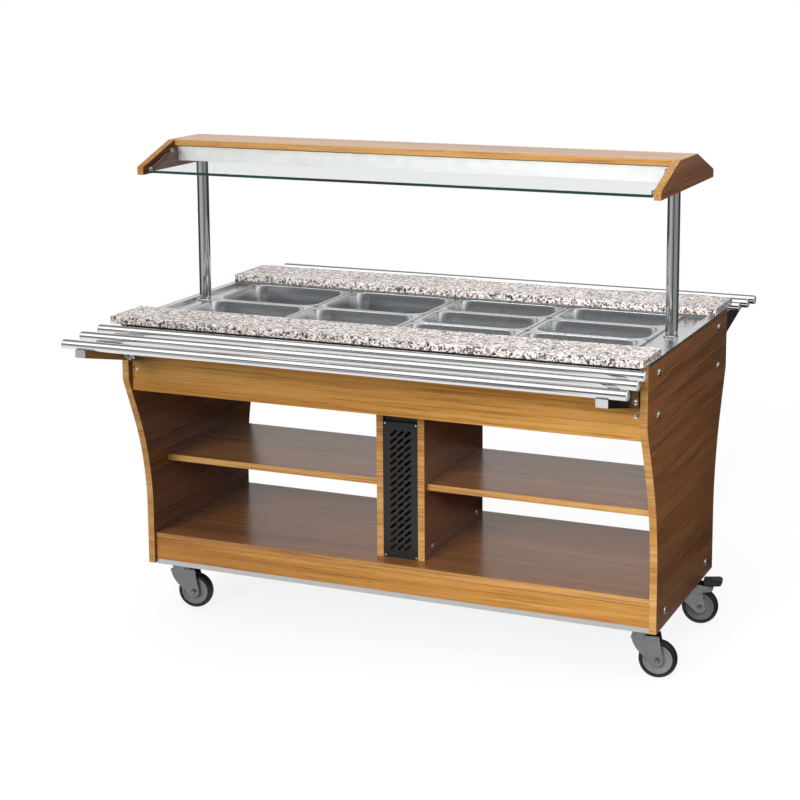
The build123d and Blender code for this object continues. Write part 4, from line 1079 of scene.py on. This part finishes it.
def makeWorld(look):
    world = bpy.data.worlds.new("studio")
    scene.world = world
    world.use_nodes = True
    world.node_tree.nodes.clear()
    nodes = Nodes(world.node_tree)
    way = nodes.node("ShaderNodeTexCoord", output="Generated")
    stops = [(spot, grey(level)) for spot, level in look["mirrorBands"]]
    bands = nodes.ramp(turnShare(nodes, way, 1, 2), stops)
    glossy = nodes.node("ShaderNodeLightPath", output="Is Glossy Ray")
    seen = backgroundRays(nodes)
    colour = nodes.blend(seen, grey(look["ambient"]), grey(1))
    colour = nodes.blend(glossy * seen, colour, bands)
    background = nodes.node("ShaderNodeBackground", {}, {"Color": colour})
    nodes.node("ShaderNodeOutputWorld", {}, {"Surface": background}, None)


def makeMirrorWall(look):
    # a low round wall, brighter in front than behind
    shape = bmesh.new()
    verts = [shape.verts.new((look["radius"], 0, level)) for level in (0.0, look["height"])]
    edge = shape.edges.new(verts)
    bmesh.ops.spin(
        shape,
        geom=verts + [edge],
        cent=(0, 0, 0),
        axis=(0, 0, 1),
        angle=2 * math.pi,
        steps=look["steps"],
        use_merge=True,
        use_duplicate=False,
    )
    stops = [((angle + 180) / 360, grey(level)) for angle, level in look["shades"]]
    paint = glowPaint("mirrorWallPaint")
    shades = paint.ramp(turnShare(paint, paint.place, 0, 1) * 0.5 + 0.5, stops)
    addMirrorOnly("mirrorWall", shape, paint.coat({"Emission Color": shades}))


def cardShape(width, height):
    shape = bmesh.new()
    verts = bmesh.ops.create_grid(shape, x_segments=1, y_segments=1, size=0.5)["verts"]
    bmesh.ops.scale(shape, vec=(width, height, 1), verts=verts)
    return shape, verts


def makeCard(name, look):
    # an upright card that faces the cart
    shape, verts = cardShape(look["width"], look["height"])
    shiftTurned(shape, verts, math.pi / 2, "X", (0, look["away"], look["height"] / 2))
    shiftTurned(shape, verts, math.radians(look["azimuth"] - 90), "Z", (0, 0, 0))
    addMirrorOnly(name, shape, glowPaint(name + "Cloth").coat({"Emission Color": grey(look["shade"])}))


def makeFloorCard(name, look):
    (lowX, lowY), (highX, highY) = look["low"], look["high"]
    shape, verts = cardShape(highX - lowX, highY - lowY)
    middle = ((lowX + highX) / 2, (lowY + highY) / 2, floorCardLift)
    bmesh.ops.translate(shape, vec=middle, verts=verts)
    addMirrorOnly(name, shape, glowPaint(name + "Cloth").coat({"Emission Color": grey(look["shade"])}))


def addLamp(name, data, shineFrom):
    # turned so that it shines from the way given; not seen in mirrors
    lamp = bpy.data.objects.new(name, data)
    scene.collection.objects.link(lamp)
    lamp.rotation_euler = Vector(shineFrom).to_track_quat("Z", "Y").to_euler()
    lamp.visible_glossy = False
    return lamp


def makeSun(name, look):
    data = bpy.data.lights.new(name, "SUN")
    data.energy = look["strength"]
    data.angle = look["softness"]
    addLamp(name, data, look["way"])


def makeSoftBox(name, look):
    data = bpy.data.lights.new(name, "AREA")
    data.shape = "RECTANGLE"
    data.size = data.size_y = look["size"]
    data.energy = look["power"]
    data.spread = look["spread"]
    place = Vector(look["place"])
    addLamp(name, data, place - Vector(look["aim"])).location = place


makeFloor(studio)
makeWorld(studio)
makeMirrorWall(mirrorWall)
makeCard("cameraCard", cameraCard)
for name, look in floorCards.items():
    makeFloorCard(name, look)
for name, look in suns.items():
    makeSun(name, look)
for name, look in softBoxes.items():
    makeSoftBox(name, look)
scene.view_settings.view_transform = "Standard"
print("floor, lamps and cards set")
